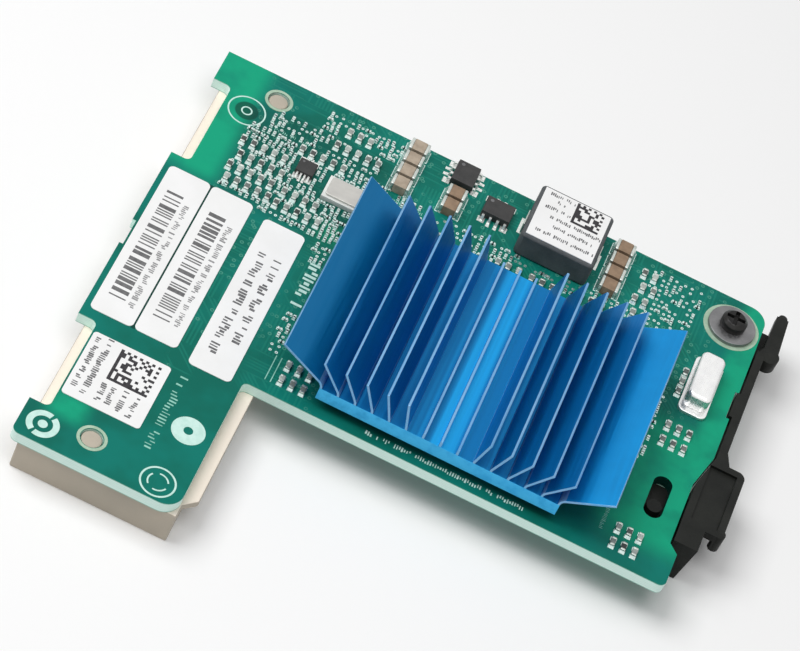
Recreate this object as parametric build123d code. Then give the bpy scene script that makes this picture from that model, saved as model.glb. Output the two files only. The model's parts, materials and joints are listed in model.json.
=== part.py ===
from build123d import *
import math
import os

# Fibre channel host bus adapter: a mezzanine card for a blade server.
# Millimetres. While it is built, X runs from the left edge of the board to the clip, Y from the
# front edge of the connector tab to the back edge, and Z up from the plane that the connector and
# the clip stand on. At the end every piece is moved so that the origin lies under the middle.

# Heat sink: a square base with fins that fan outwards from an open channel with low ribs
sink_width = 40.0
sink_depth = 40.0
sink_base_thickness = 2.4
fin_count = 15
fin_thickness = 0.4
fin_height = 5.2
fin_bend_radius = 1.5
fin_splay_step = 6.5
outer_fin_splay = 60.5
channel_rib_count = 3
channel_rib_height = 1.2

# Circuit board
board_thickness = 2.0
tab_width = 26.7
tab_reach = 28.2
sink_left = 37.3
sink_front_margin = 1.6
back_zone = 21.2
right_zone = 19.6
ear_length = 7.1
notch_length = 19.0
notch_depth = 3.2
edge_notch_length = 5.6
edge_notch_depth = 0.6
tab_corner_radius = 3.0
back_corner_radius = 3.0
front_corner_radius = 1.2
router_radius = 1.0

# Mezzanine connector under the left of the board
connector_height = 6.1
connector_end_margin = 0.5
connector_left = 1.5
connector_overhang = 0.3
connector_wall = 2.2
connector_floor = 1.4
connector_key = 2.0
flange_reach = 2.0
flange_thickness = 1.2
flange_inset = 4.5
peg_span = 80.5
peg_offset = 9.4
peg_diameter = 3.2
peg_clearance = 0.15
peg_recess = 0.2
peg_slot_travel = 0.8
wafer_pitch = 3.0
wafer_thickness = 1.1
wafer_recess = 0.5
wafer_end_gap = 1.0

# Controller chip between the board and the heat sink
substrate_size = 31.0
substrate_thickness = 1.0
lid_size = 26.0
lid_thickness = 0.85
lid_corner_radius = 1.0
pad_thickness = 0.12

# Retention clip on the right edge
clip_gap = 0.3
cutback_front = 7.1
cutback_length = 14.6
cutback_ramp = 6.9
cutback_depth = 1.6
rail_thickness = 1.4
rail_rise = 0.4
lug_thickness = 2.0
lug_depth = 8.4
lug_corner = 2.0
hook_front = 13.4
hook_length = 14.4
hook_rise = 0.6
hook_plate = 1.4
hook_slot = 1.7
hook_lip = 1.2
hook_lip_height = 3.4
hook_corner_radius = 1.3
gusset_run = 1.8
toe_diameter = 1.8
web_thickness = 4.0
web_rim = 1.2
web_pocket = 0.5
foot_inset = 0.7
foot_thickness = 2.4
snap_back = 22.0
snap_length = 6.0
snap_depth = 0.6
finger_back = 8.7
finger_length = 9.8
finger_side = 2.1
finger_lean = 0.1
finger_width = 2.6
finger_thickness = 2.4
finger_tip_width = 2.0
finger_tip_thickness = 1.6
finger_nib = 1.5
knob_diameter = 3.3
slot_back = 16.1
slot_side = 5.9
slot_width = 3.1
slot_length = 8.8
clip_peg_diameter = 2.5
clip_peg_recess = 0.5
clip_peg_shift = 1.5

# Screw and washer that hold the clip
screw_side = 5.0
screw_back = 6.4
screw_diameter = 2.5
screw_clearance = 0.35
screw_head_diameter = 4.3
screw_head_height = 1.8
screw_head_chamfer = 0.6
recess_width = 0.7
recess_depth = 0.9
washer_diameter = 8.0
washer_thickness = 0.7
boss_diameter = 7.0
boss_floor = 1.0

# Small-outline regulator chips
regulator_length = 4.9
regulator_width = 3.9
regulator_span = 6.0
regulator_height = 1.5
regulator_pitch = 1.27
regulator_lead_width = 0.42
logic_length = 3.0
logic_width = 3.0
logic_span = 4.9
logic_height = 0.95
logic_pitch = 0.65
logic_lead_width = 0.3
lead_thickness = 0.2
lead_shoulder = 0.3
chip_standoff = 0.1
chip_draft = 8.0
leads_per_side = 4
logic_left = 18.4
logic_back = 14.35

# Power inductor
inductor_length = 13.2
inductor_depth = 12.7
inductor_height = 4.7
inductor_corner_radius = 0.8
inductor_top_chamfer = 0.3
terminal_thickness = 0.25
terminal_width = 3.4
terminal_height = 2.4
terminal_foot = 2.2

# Ceramic power capacitors
power_cap_length = 3.2
power_cap_width = 2.5
power_cap_height = 1.8
power_cap_end = 0.55
power_cap_pitch = 3.05
outer_cap_count = 4
middle_cap_count = 2

# Small ceramic capacitors
small_cap_length = 1.6
small_cap_width = 0.8
small_cap_height = 0.7
small_cap_end = 0.35
small_cap_pitch = 1.8
# Rows of small capacitors: place along X, place along Y and length of the row, centre to centre
signal_cap_rows = [
    (17.9, 13.1, 7.2),
    (8.9, 16.9, 7.2),
    (9.6, 20.2, 7.2),
    (8.9, 23.2, 7.2),
    (9.4, 26.0, 7.2),
    (18.5, 23.4, 5.4),
    (18.2, 26.4, 7.2),
    (22.5, 8.8, 7.2),
    (23.4, 5.0, 3.6),
]
behind_sink_rows = [(-3.7, 4.6, 3.6), (2.2, 4.6, 3.6), (10.5, 5.8, 5.4)]
beside_caps_rows = [(2.9, 4.2, 1.8), (3.5, 7.3, 1.8), (2.9, 10.4, 1.8), (3.5, 13.5, 1.8)]
before_crystal_rows = [(8.6, 4.0, 3.6), (8.6, 7.4, 3.6)]
beside_crystal_rows = [(9.1, 3.6, 0), (9.1, 5.8, 0), (9.1, 8.0, 0)]
right_front_rows = [(9.8, 3.4, 3.6), (9.8, 6.6, 3.6)]
left_front_rows = [(5.7, 3.4, 3.6), (5.7, 6.6, 3.6)]
underside_rows = 3
underside_columns = 4
underside_pitch_x = 4.8
underside_pitch_y = 5.0

# Crystal and oscillator
crystal_length = 12.6
crystal_width = 4.8
crystal_base_height = 0.6
crystal_end_rim = 1.1
crystal_side_rim = 0.4
crystal_corner_radius = 1.1
crystal_can_height = 3.0
crystal_can_chamfer = 0.4
crystal_side = 6.0
crystal_back = 22.0
oscillator_length = 7.0
oscillator_width = 5.0
oscillator_base_height = 0.9
oscillator_lid_inset = 0.45
oscillator_lid_height = 0.4
oscillator_lid_radius = 0.5
oscillator_left = 23.9
oscillator_back = 16.0

# Paper labels
label_thickness = 0.12
label_width = 7.1
label_length = 34.2
label_corner_radius = 0.9
label_back = 28.8
label_left = 0.95
label_gap = 0.3
label_wide_gap = 2.4
right_label_drop = 1.4
code_label_width = 12.8
code_label_length = 13.6
code_label_gap = 3.8
code_label_left = 3.5
code_label_corner_radius = 0.6
inductor_label_margin = 0.6

# Spacing along the back row, from the left edge of the board
back_row_left = 32.8
back_row_margin = 0.85
cap_to_chip_gap = 4.0
chip_gap = 1.75
chip_to_inductor_gap = 2.0
inductor_to_cap_gap = 1.8
middle_cap_gap = 1.3
regulator_back = 0.3
turned_regulator_back = 3.8
inductor_back = 0.2

# Overall sizes that follow from the driving dimensions
board_length = sink_left + sink_width + right_zone
board_depth = tab_reach + sink_front_margin + sink_depth + back_zone
board_bottom = connector_height
board_top = board_bottom + board_thickness
sink_centre_x = sink_left + sink_width / 2
sink_centre_y = tab_reach + sink_front_margin + sink_depth / 2
sink_bottom = board_top + substrate_thickness + lid_thickness + pad_thickness
sink_base_top = sink_bottom + sink_base_thickness
rail_left = board_length + clip_gap
rail_right = rail_left + rail_thickness
cutback_x = board_length - cutback_depth
web_left = cutback_x + clip_gap
web_right = web_left + web_thickness
lip_left = web_right + hook_slot
hook_right = lip_left + hook_lip
hook_y0 = tab_reach + hook_front
hook_y1 = hook_y0 + hook_length
finger_y0 = board_depth - finger_back
finger_y1 = finger_y0 + finger_length
screw_x = board_length - screw_side
screw_y = board_depth - screw_back
clip_slot_x = board_length - slot_side
clip_slot_y = tab_reach + slot_back
finger_x = rail_left + finger_side
ramp_y0 = tab_reach + cutback_front + cutback_length
ramp_y1 = ramp_y0 + cutback_ramp
gusset_back = ramp_y1 + gusset_run
connector_middle_y = board_depth / 2
toe_x = hook_right - hook_lip / 2
overall_length = toe_x + toe_diameter / 2
overall_depth = max(finger_y1, board_depth)


def block(x0, x1, y0, y1, z0, z1):
    """A box between two corners."""
    return Pos((x0 + x1) / 2, (y0 + y1) / 2, (z0 + z1) / 2) * Box(x1 - x0, y1 - y0, z1 - z0)


def upright(outline, z0, z1):
    """A flat outline raised from z0 to z1."""
    return Pos(0, 0, z0) * extrude(outline, z1 - z0)


def centred_plate(x, y, length, width, radius, z0, z1):
    """A plate with rounded corners, centred on x and y."""
    return upright(Pos(x, y) * RectangleRounded(length, width, radius), z0, z1)


def cylinder_between(x, y, diameter, z0, z1):
    """An upright cylinder."""
    return upright(Pos(x, y) * Circle(diameter / 2), z0, z1)


def group(solids):
    """Separate like pieces that share one node."""
    return Compound(children=list(solids))


def circuit_board():
    """The board's routed outline, with its two ears, its tab and its holes."""
    right = board_length
    cut_y0 = tab_reach + cutback_front
    inner = router_radius
    corners = [
        ((0, 0), front_corner_radius),
        ((tab_width, 0), tab_corner_radius),
        ((tab_width, tab_reach), inner),
        ((right, tab_reach), front_corner_radius),
        ((right, cut_y0), 0),
        ((cutback_x, cut_y0 + cutback_depth), 0),
        ((cutback_x, ramp_y0), 0),
        ((right, ramp_y1), 0),
        ((right, board_depth), back_corner_radius),
        ((0, board_depth), 0),
        ((0, board_depth - ear_length), 0),
        ((notch_depth, board_depth - ear_length), inner),
        ((notch_depth, board_depth - ear_length - notch_length), inner),
        ((0, board_depth - ear_length - notch_length), 0),
        ((0, ear_length + notch_length), 0),
        ((notch_depth, ear_length + notch_length), inner),
        ((notch_depth, ear_length), inner),
        ((0, ear_length), 0),
    ]
    points = [point for point, radius in corners]
    radii = [radius for point, radius in corners]
    outline = make_face(FilletPolyline(*points, radius=radii, close=True))
    outline -= Pos(right, board_depth - snap_back) * Rectangle(2 * snap_depth, snap_length)
    outline -= Pos(0, connector_middle_y) * Rectangle(2 * edge_notch_depth, edge_notch_length)
    hole_diameter = peg_diameter + 2 * peg_clearance
    outline -= Pos(peg_x(), peg_y(-1)) * Circle(hole_diameter / 2)
    outline -= Pos(peg_x(), peg_y(1)) * SlotCenterToCenter(peg_slot_travel, hole_diameter)
    outline -= Pos(screw_x, screw_y) * Circle(screw_diameter / 2 + screw_clearance)
    outline -= Pos(clip_slot_x, clip_slot_y) * Rot(0, 0, 90) * SlotOverall(slot_length, slot_width)
    return upright(outline, board_bottom, board_top)


def peg_x():
    """Where the connector's locating pegs stand along the board."""
    return connector_left + peg_offset


def peg_y(end):
    """The front peg for -1 and the back peg for 1."""
    return connector_middle_y + end * peg_span / 2


def connector_box():
    """The connector body's left, right, front and back."""
    right = tab_width + connector_overhang
    return connector_left, right, connector_end_margin, board_depth - connector_end_margin


def connector_housing():
    """An open box with its mouth down, a flange along its right side and two locating pegs."""
    left, right, front, back = connector_box()
    outline = make_face(Polyline(
        (left, front), (right, front), (right, back), (left + connector_key, back),
        (left, back - connector_key), close=True))
    cavity = offset(outline, -connector_wall)
    housing = upright(outline, 0, connector_height)
    housing -= upright(cavity, 0, connector_height - connector_floor)
    flange_front = front + flange_inset - flange_reach
    flange_back = back - flange_inset + flange_reach
    flange = make_face(Polyline(
        (right - connector_wall, flange_front), (right, flange_front),
        (right + flange_reach, front + flange_inset), (right + flange_reach, back - flange_inset),
        (right, flange_back), (right - connector_wall, flange_back), close=True))
    housing += upright(flange, connector_height - flange_thickness, connector_height)
    for end in (-1, 1):
        housing += cylinder_between(peg_x(), peg_y(end), peg_diameter,
                                    connector_height, board_top - peg_recess)
    return housing


def connector_wafers():
    """Contact wafers side by side across the cavity, standing on its floor."""
    left, right, front, back = connector_box()
    x0 = left + connector_wall + wafer_end_gap
    x1 = right - connector_wall - wafer_end_gap
    room = back - front - 2 * connector_wall - 2 * connector_key
    count = int(room // wafer_pitch)
    seat = connector_height - connector_floor
    wafers = []
    for index in range(count):
        y = connector_middle_y + (index - (count - 1) / 2) * wafer_pitch
        blade = block(x0, x1, y - wafer_thickness / 2, y + wafer_thickness / 2, wafer_recess, seat)
        nose = blade.edges().filter_by(Axis.X).group_by(Axis.Z)[0]
        wafers.append(chamfer(nose, wafer_thickness / 4))
    return group(wafers)


def controller_substrate():
    """The chip's laminate base, soldered to the board."""
    plan = Pos(sink_centre_x, sink_centre_y) * Rectangle(substrate_size, substrate_size)
    return upright(plan, board_top, board_top + substrate_thickness)


def controller_lid():
    """The chip's flat metal lid."""
    bottom = board_top + substrate_thickness
    return centred_plate(sink_centre_x, sink_centre_y, lid_size, lid_size,
                         lid_corner_radius, bottom, bottom + lid_thickness)


def thermal_pad():
    """The thermal adhesive between the lid and the heat sink."""
    plan = Pos(sink_centre_x, sink_centre_y) * Rectangle(lid_size, lid_size)
    return upright(plan, sink_bottom - pad_thickness, sink_bottom)


def fin_outline(root, splay):
    """One fin's end view: it leaves the base upright, bends outwards and runs straight to its tip."""
    side = 1 if splay >= 0 else -1
    angle = math.radians(abs(splay))
    half = fin_thickness / 2
    straight = (fin_height - fin_bend_radius * math.sin(angle)) / math.cos(angle)
    turn = -side * abs(splay)
    inner = JernArc((root + side * half, 0), (0, 1), fin_bend_radius - half, turn)
    outer = JernArc((root - side * half, 0), (0, 1), fin_bend_radius + half, turn)
    inner_run = Line(inner @ 1, inner @ 1 + (inner % 1) * straight)
    outer_run = Line(outer @ 1, outer @ 1 + (outer % 1) * straight)
    tip = Line(inner_run @ 1, outer_run @ 1)
    root_line = Line(outer @ 0, inner @ 0)
    return make_face([inner, inner_run, tip, outer_run, outer, root_line])


def channel_rib(root):
    """One low rib's end view."""
    return Pos(root, channel_rib_height / 2) * Rectangle(fin_thickness, channel_rib_height)


def heat_sink():
    """The base, its fins and its ribs, drawn from the front and drawn out along the depth of the sink."""
    middle = fin_count // 2
    pitch = (sink_width - fin_thickness) / (fin_count - 1)
    profile = Pos(0, -sink_base_thickness / 2) * Rectangle(sink_width, sink_base_thickness)
    for index in range(fin_count):
        step = index - middle
        root = step * pitch
        if abs(step) <= channel_rib_count // 2:
            profile += channel_rib(root)
        elif abs(step) == middle:
            profile += fin_outline(root, math.copysign(outer_fin_splay, step))
        else:
            profile += fin_outline(root, step * fin_splay_step)
    bar = extrude(Plane.XZ * profile, sink_depth / 2, both=True)
    return Pos(sink_centre_x, sink_centre_y, sink_base_top) * bar


def retention_clip():
    """A moulded clip: rail, lugs under the board, peg, screw boss, edge hook, foot and guide finger."""
    lug_bottom = board_bottom - lug_thickness
    rail_top = board_top + rail_rise
    hook_top = board_top + hook_rise
    clip = block(rail_left, rail_right, ramp_y1, finger_y0, lug_bottom, rail_top)
    clip += clip_web(lug_bottom, hook_top)
    clip += clip_hook(hook_top)
    clip -= block(web_left + web_rim, lip_left, hook_y0 + web_rim, hook_y1 - web_rim,
                  hook_top - web_pocket, hook_top)
    clip += clip_lug(clip_slot_x, clip_slot_y, lug_bottom)
    clip += clip_lug(screw_x, screw_y, lug_bottom)
    clip += cylinder_between(clip_slot_x, clip_slot_y - clip_peg_shift, clip_peg_diameter,
                             board_bottom, board_top - clip_peg_recess)
    clip += cylinder_between(screw_x, screw_y, boss_diameter, 0, board_bottom)
    clip -= cylinder_between(screw_x, screw_y, screw_diameter, boss_floor, board_bottom)
    snap_y = board_depth - snap_back
    snap_half = snap_length / 2 - clip_gap
    snap_x = board_length - snap_depth + clip_gap
    clip += block(snap_x, rail_left, snap_y - snap_half, snap_y + snap_half, board_bottom, rail_top)
    return clip + guide_finger(rail_top)


def clip_web(lug_bottom, top):
    """The web that follows the board's ramp and cut-back edge and narrows downwards to a foot."""
    web_y0 = tab_reach + cutback_front + cutback_depth + clip_gap
    web_x = (web_left + web_right) / 2
    web_y = (web_y0 + ramp_y0) / 2
    web_length = ramp_y0 - web_y0
    foot_x = web_left + foot_inset + foot_thickness / 2
    upper = Pos(web_x, web_y, top) * Rectangle(web_thickness, web_length)
    lower = Pos(foot_x, web_y, 0) * Rectangle(foot_thickness, web_length - 2 * foot_inset)
    gusset = make_face(Polyline(
        (web_left, ramp_y0), (web_left, hook_y0), (web_right, hook_y0), (web_right, hook_y1),
        (rail_right, gusset_back), (rail_left, gusset_back), (rail_left, ramp_y1), close=True))
    return loft([lower, upper]) + upright(gusset, lug_bottom, top)


def clip_lug(x, y, bottom):
    """A lug that reaches from the rail under the board, with cut corners."""
    half = lug_depth / 2
    plan = make_face(Polyline(
        (rail_right, y - half), (rail_right, y + half), (x - half + lug_corner, y + half),
        (x - half, y + half - lug_corner), (x - half, y - half + lug_corner),
        (x - half + lug_corner, y - half), close=True))
    return upright(plan, bottom, board_bottom)


def clip_hook(top):
    """An upside-down channel that hooks over a sheet wall, with a toe at its front end."""
    middle_y = (hook_y0 + hook_y1) / 2
    plate = Pos((web_right + hook_right) / 2 - hook_corner_radius, middle_y) * \
        RectangleRounded(hook_right - web_right + 2 * hook_corner_radius, hook_length, hook_corner_radius)
    plate &= Pos((rail_left + hook_right) / 2, middle_y) * Rectangle(hook_right - rail_left, hook_length)
    hook = upright(plate, top - hook_plate, top)
    lip = upright(plate, top - hook_lip_height, top)
    hook += lip & block(lip_left, hook_right, hook_y0, hook_y1, 0, top)
    hook += cylinder_between(toe_x, hook_y0 + toe_diameter / 2, toe_diameter, top - hook_lip_height, top)
    return hook


def guide_finger(top):
    """The tapered finger that reaches past the back corner of the board, with a round knob and nib."""
    tip_x = finger_x - finger_lean
    nib_y = finger_y1 - finger_nib / 2
    root = Plane((finger_x, finger_y0, top - finger_thickness / 2), x_dir=(1, 0, 0), z_dir=(0, 1, 0)) * \
        Rectangle(finger_width, finger_thickness)
    tip = Plane((tip_x, nib_y, top - finger_tip_thickness / 2), x_dir=(1, 0, 0), z_dir=(0, 1, 0)) * \
        Rectangle(finger_tip_width, finger_tip_thickness)
    finger = loft([root, tip])
    finger += cylinder_between(finger_x, finger_y0, knob_diameter, top - finger_thickness, top)
    finger += cylinder_between(tip_x, nib_y, finger_nib, top - finger_tip_thickness, top)
    return finger


def clip_screw():
    """A pan-head screw with a cross recess, down through the washer and the board into the boss."""
    seat = board_top + washer_thickness
    head = cylinder_between(screw_x, screw_y, screw_head_diameter, seat, seat + screw_head_height)
    rim = head.edges().filter_by(GeomType.CIRCLE).sort_by(Axis.Z)[-1]
    head = chamfer(rim, screw_head_chamfer)
    reach = screw_head_diameter / 2 - screw_head_chamfer
    top = seat + screw_head_height
    for along, across in ((reach, recess_width / 2), (recess_width / 2, reach)):
        head -= block(screw_x - along, screw_x + along, screw_y - across, screw_y + across,
                      top - recess_depth, top)
    return head + cylinder_between(screw_x, screw_y, screw_diameter, boss_floor, seat)


def clip_washer():
    """The flat washer under the screw's head."""
    ring = Circle(washer_diameter / 2) - Circle(screw_diameter / 2 + screw_clearance)
    return upright(Pos(screw_x, screw_y) * ring, board_top, board_top + washer_thickness)


def chip_body(x, y, length, width, height):
    """A moulded chip body whose walls lean in above and below the plane of its leads."""
    middle = board_top + chip_standoff + (height - chip_standoff) / 2
    band = lead_thickness / 2
    rise = (height - chip_standoff) / 2 - band
    outline = Pos(x, y) * Rectangle(length, width)
    body = upright(outline, middle - band, middle + band)
    body += Pos(0, 0, middle + band) * extrude(outline, rise, taper=chip_draft)
    body += Pos(0, 0, middle - band) * extrude(outline, rise, dir=(0, 0, -1), taper=chip_draft)
    return body


def chip_leads(x, y, body_width, span, height, pitch, lead_width, turn):
    """Gull-wing leads on two sides of a chip; a turn of 90 sets them to the front and back."""
    middle = chip_standoff + (height - chip_standoff) / 2
    half = lead_thickness / 2
    root = body_width / 2
    knee = root + lead_shoulder
    heel = knee + lead_shoulder
    end = span / 2
    wing = make_face(Polyline(
        (root, middle - half), (knee - half, middle - half), (heel - half, 0), (end, 0),
        (end, lead_thickness), (heel + half, lead_thickness), (knee + half, middle + half),
        (root, middle + half), close=True))
    lead = extrude(Plane.XZ * wing, lead_width / 2, both=True)
    leads = []
    for facing in (0, 180):
        for index in range(leads_per_side):
            along = (index - (leads_per_side - 1) / 2) * pitch
            leads.append(Pos(x, y, board_top) * Rot(0, 0, turn + facing) * Pos(0, along, 0) * lead)
    return group(leads)


def capacitor_bank(places, sizes, turned, base):
    """Ceramic bodies and plated ends of like chip capacitors, as two groups of solids."""
    length, width, height, end = sizes
    body = block(end - length / 2, length / 2 - end, -width / 2, width / 2, 0, height)
    cap = block(length / 2 - end, length / 2, -width / 2, width / 2, 0, height)
    bodies = []
    ends = []
    for x, y in places:
        seat = Pos(x, y, base) * Rot(0, 0, 90 if turned else 0)
        bodies.append(seat * body)
        for facing in (0, 180):
            ends.append(seat * Rot(0, 0, facing) * cap)
    return group(bodies), group(ends)


def column_places(x, y, count):
    """Places of power capacitors one in front of the other, from the back."""
    return [(x, y - index * power_cap_pitch) for index in range(count)]


def power_inductor():
    """The inductor's moulded block, standing on its terminals."""
    length = inductor_length - 2 * terminal_thickness
    bottom = board_top + terminal_thickness
    body = centred_plate(inductor_x, inductor_y, length, inductor_depth, inductor_corner_radius,
                         bottom, board_top + inductor_height)
    return chamfer(body.faces().sort_by(Axis.Z)[-1].edges(), inductor_top_chamfer)


def inductor_terminals():
    """Two flat straps that go under the block and up its left and right sides."""
    straps = []
    for side in (-1, 1):
        outer = inductor_length / 2
        inner = outer - terminal_thickness
        strap = make_face(Polyline(
            (outer, 0), (outer, terminal_height), (inner, terminal_height), (inner, terminal_thickness),
            (inner - terminal_foot, terminal_thickness), (inner - terminal_foot, 0), close=True))
        strap = extrude(Plane.XZ * strap, terminal_width / 2, both=True)
        straps.append(Pos(inductor_x, inductor_y, board_top) * Rot(0, 0, 90 - 90 * side) * strap)
    return group(straps)


def crystal_base():
    """The crystal's flanged base plate."""
    return centred_plate(crystal_x, crystal_y, crystal_width, crystal_length, crystal_corner_radius,
                         board_top, board_top + crystal_base_height)


def crystal_can():
    """The crystal's drawn can with an eased top edge."""
    bottom = board_top + crystal_base_height
    can = centred_plate(crystal_x, crystal_y, crystal_width - 2 * crystal_side_rim,
                        crystal_length - 2 * crystal_end_rim, crystal_corner_radius,
                        bottom, bottom + crystal_can_height)
    return chamfer(can.faces().sort_by(Axis.Z)[-1].edges(), crystal_can_chamfer)


def oscillator_base():
    """The oscillator's ceramic base."""
    plan = Pos(oscillator_x, oscillator_y) * Rectangle(oscillator_length, oscillator_width)
    return upright(plan, board_top, board_top + oscillator_base_height)


def oscillator_lid():
    """The oscillator's soldered metal lid."""
    bottom = board_top + oscillator_base_height
    inset = 2 * oscillator_lid_inset
    return centred_plate(oscillator_x, oscillator_y, oscillator_length - inset, oscillator_width - inset,
                         oscillator_lid_radius, bottom, bottom + oscillator_lid_height)


def paper_label(left, top, width, length, radius, z):
    """A paper label with rounded corners, lying on a surface at height z."""
    return centred_plate(left + width / 2, top - length / 2, width, length, radius, z, z + label_thickness)


# Places along the back row
left_caps_x = back_row_left + power_cap_length / 2
regulator_x = left_caps_x + power_cap_length / 2 + cap_to_chip_gap + regulator_span / 2
turned_regulator_x = regulator_x + regulator_span / 2 + chip_gap + regulator_length / 2
inductor_x = turned_regulator_x + regulator_length / 2 + chip_to_inductor_gap + inductor_length / 2
right_caps_x = inductor_x + inductor_length / 2 + inductor_to_cap_gap + power_cap_length / 2
power_caps_y = board_depth - back_row_margin - power_cap_width / 2
regulator_y = board_depth - regulator_back - regulator_length / 2
turned_regulator_y = board_depth - turned_regulator_back - regulator_span / 2
inductor_y = board_depth - inductor_back - inductor_depth / 2
middle_caps_y = regulator_y - regulator_length / 2 - middle_cap_gap - power_cap_width / 2

# Places of the other components
crystal_x = board_length - crystal_side
crystal_y = board_depth - crystal_back
oscillator_x = oscillator_left + oscillator_length / 2
oscillator_y = board_depth - oscillator_back - oscillator_width / 2
logic_x = logic_left + logic_width / 2
logic_y = board_depth - logic_back - logic_span / 2
label_top = board_depth - label_back
middle_label_left = label_left + label_width + label_gap
right_label_left = middle_label_left + label_width + label_wide_gap
code_label_top = label_top - label_length - code_label_gap
inductor_top = board_top + inductor_height


def small_cap_places(rows):
    """Places of small capacitors along rows of first x, y and length."""
    places = []
    for x, y, run in rows:
        count = 1 + round(run / small_cap_pitch)
        places.extend((x + index * small_cap_pitch, y) for index in range(count))
    return places


def signal_cap_places():
    """Small capacitors between the labels and the back row, by distance from the left and back edges."""
    return small_cap_places([(left, board_depth - back, run) for left, back, run in signal_cap_rows])


def supply_cap_places():
    """Small capacitors behind the heat sink and to the right of the power capacitors."""
    sink_back = sink_centre_y + sink_depth / 2
    beside = right_caps_x + power_cap_length / 2
    rows = [(sink_centre_x + left, sink_back + behind, run) for left, behind, run in behind_sink_rows]
    rows += [(beside + left, board_depth - back, run) for left, back, run in beside_caps_rows]
    return small_cap_places(rows)


def clock_cap_places():
    """Small capacitors in front of and beside the crystal and along the front edge of the board."""
    crystal_front = crystal_y - crystal_length / 2
    right = board_length
    rows = [(right - side, crystal_front - ahead, run) for side, ahead, run in before_crystal_rows]
    rows += [(right - side, crystal_front + behind, run) for side, behind, run in beside_crystal_rows]
    rows += [(right - side, tab_reach + behind, run) for side, behind, run in right_front_rows]
    rows += [(sink_left - side, tab_reach + behind, run) for side, behind, run in left_front_rows]
    return small_cap_places(rows)


def underside_cap_places():
    """Decoupling capacitors under the controller chip."""
    places = []
    for row in range(underside_rows):
        for column in range(underside_columns):
            x = sink_centre_x + (column - (underside_columns - 1) / 2) * underside_pitch_x
            y = sink_centre_y + (row - (underside_rows - 1) / 2) * underside_pitch_y
            places.append((x, y))
    return places


power_cap = (power_cap_length, power_cap_width, power_cap_height, power_cap_end)
small_cap = (small_cap_length, small_cap_width, small_cap_height, small_cap_end)
left_power_places = column_places(left_caps_x, power_caps_y, outer_cap_count)
middle_power_places = column_places(regulator_x, middle_caps_y, middle_cap_count)
right_power_places = column_places(right_caps_x, power_caps_y, outer_cap_count)
left_power_caps = capacitor_bank(left_power_places, power_cap, False, board_top)
middle_power_caps = capacitor_bank(middle_power_places, power_cap, False, board_top)
right_power_caps = capacitor_bank(right_power_places, power_cap, False, board_top)
signal_caps = capacitor_bank(signal_cap_places(), small_cap, True, board_top)
supply_caps = capacitor_bank(supply_cap_places(), small_cap, True, board_top)
clock_caps = capacitor_bank(clock_cap_places(), small_cap, True, board_top)
underside_caps = capacitor_bank(underside_cap_places(), small_cap, True, board_bottom - small_cap_height)

nodes = {
    "circuit_board": circuit_board(),
    "connector_housing": connector_housing(),
    "connector_wafers": connector_wafers(),
    "controller_substrate": controller_substrate(),
    "controller_lid": controller_lid(),
    "thermal_pad": thermal_pad(),
    "heat_sink": heat_sink(),
    "retention_clip": retention_clip(),
    "clip_screw": clip_screw(),
    "clip_washer": clip_washer(),
    "regulator_chip": chip_body(regulator_x, regulator_y, regulator_width,
                                regulator_length, regulator_height),
    "regulator_leads": chip_leads(regulator_x, regulator_y, regulator_width, regulator_span,
                                  regulator_height, regulator_pitch, regulator_lead_width, 0),
    "turned_regulator_chip": chip_body(turned_regulator_x, turned_regulator_y, regulator_length,
                                       regulator_width, regulator_height),
    "turned_regulator_leads": chip_leads(turned_regulator_x, turned_regulator_y, regulator_width,
                                         regulator_span, regulator_height, regulator_pitch,
                                         regulator_lead_width, 90),
    "logic_chip": chip_body(logic_x, logic_y, logic_length, logic_width, logic_height),
    "logic_leads": chip_leads(logic_x, logic_y, logic_width, logic_span, logic_height,
                              logic_pitch, logic_lead_width, 90),
    "power_inductor": power_inductor(),
    "inductor_terminals": inductor_terminals(),
    "left_power_capacitors": left_power_caps[0],
    "left_power_capacitor_ends": left_power_caps[1],
    "middle_power_capacitors": middle_power_caps[0],
    "middle_power_capacitor_ends": middle_power_caps[1],
    "right_power_capacitors": right_power_caps[0],
    "right_power_capacitor_ends": right_power_caps[1],
    "signal_capacitors": signal_caps[0],
    "signal_capacitor_ends": signal_caps[1],
    "supply_capacitors": supply_caps[0],
    "supply_capacitor_ends": supply_caps[1],
    "clock_capacitors": clock_caps[0],
    "clock_capacitor_ends": clock_caps[1],
    "underside_capacitors": underside_caps[0],
    "underside_capacitor_ends": underside_caps[1],
    "crystal_base": crystal_base(),
    "crystal_can": crystal_can(),
    "oscillator_base": oscillator_base(),
    "oscillator_lid": oscillator_lid(),
    "left_label": paper_label(label_left, label_top, label_width, label_length,
                              label_corner_radius, board_top),
    "middle_label": paper_label(middle_label_left, label_top, label_width, label_length,
                                label_corner_radius, board_top),
    "right_label": paper_label(right_label_left, label_top - right_label_drop, label_width, label_length,
                               label_corner_radius, board_top),
    "code_label": paper_label(code_label_left, code_label_top, code_label_width, code_label_length,
                              code_label_corner_radius, board_top),
    "inductor_label": upright(
        Pos(inductor_x, inductor_y) * Rectangle(
            inductor_length - 2 * terminal_thickness - 2 * inductor_label_margin,
            inductor_depth - 2 * inductor_label_margin),
        inductor_top, inductor_top + label_thickness),
}

os.makedirs("parts", exist_ok=True)
under_middle = Pos(-overall_length / 2, -overall_depth / 2, 0)
for name, shape in nodes.items():
    export_step(under_middle * shape, f"parts/{name}.step")
print("length", round(overall_length, 2), "depth", round(overall_depth, 2))
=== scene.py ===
import json
import math
import random

import bmesh
import bpy
from mathutils import Matrix, Quaternion, Vector


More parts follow.
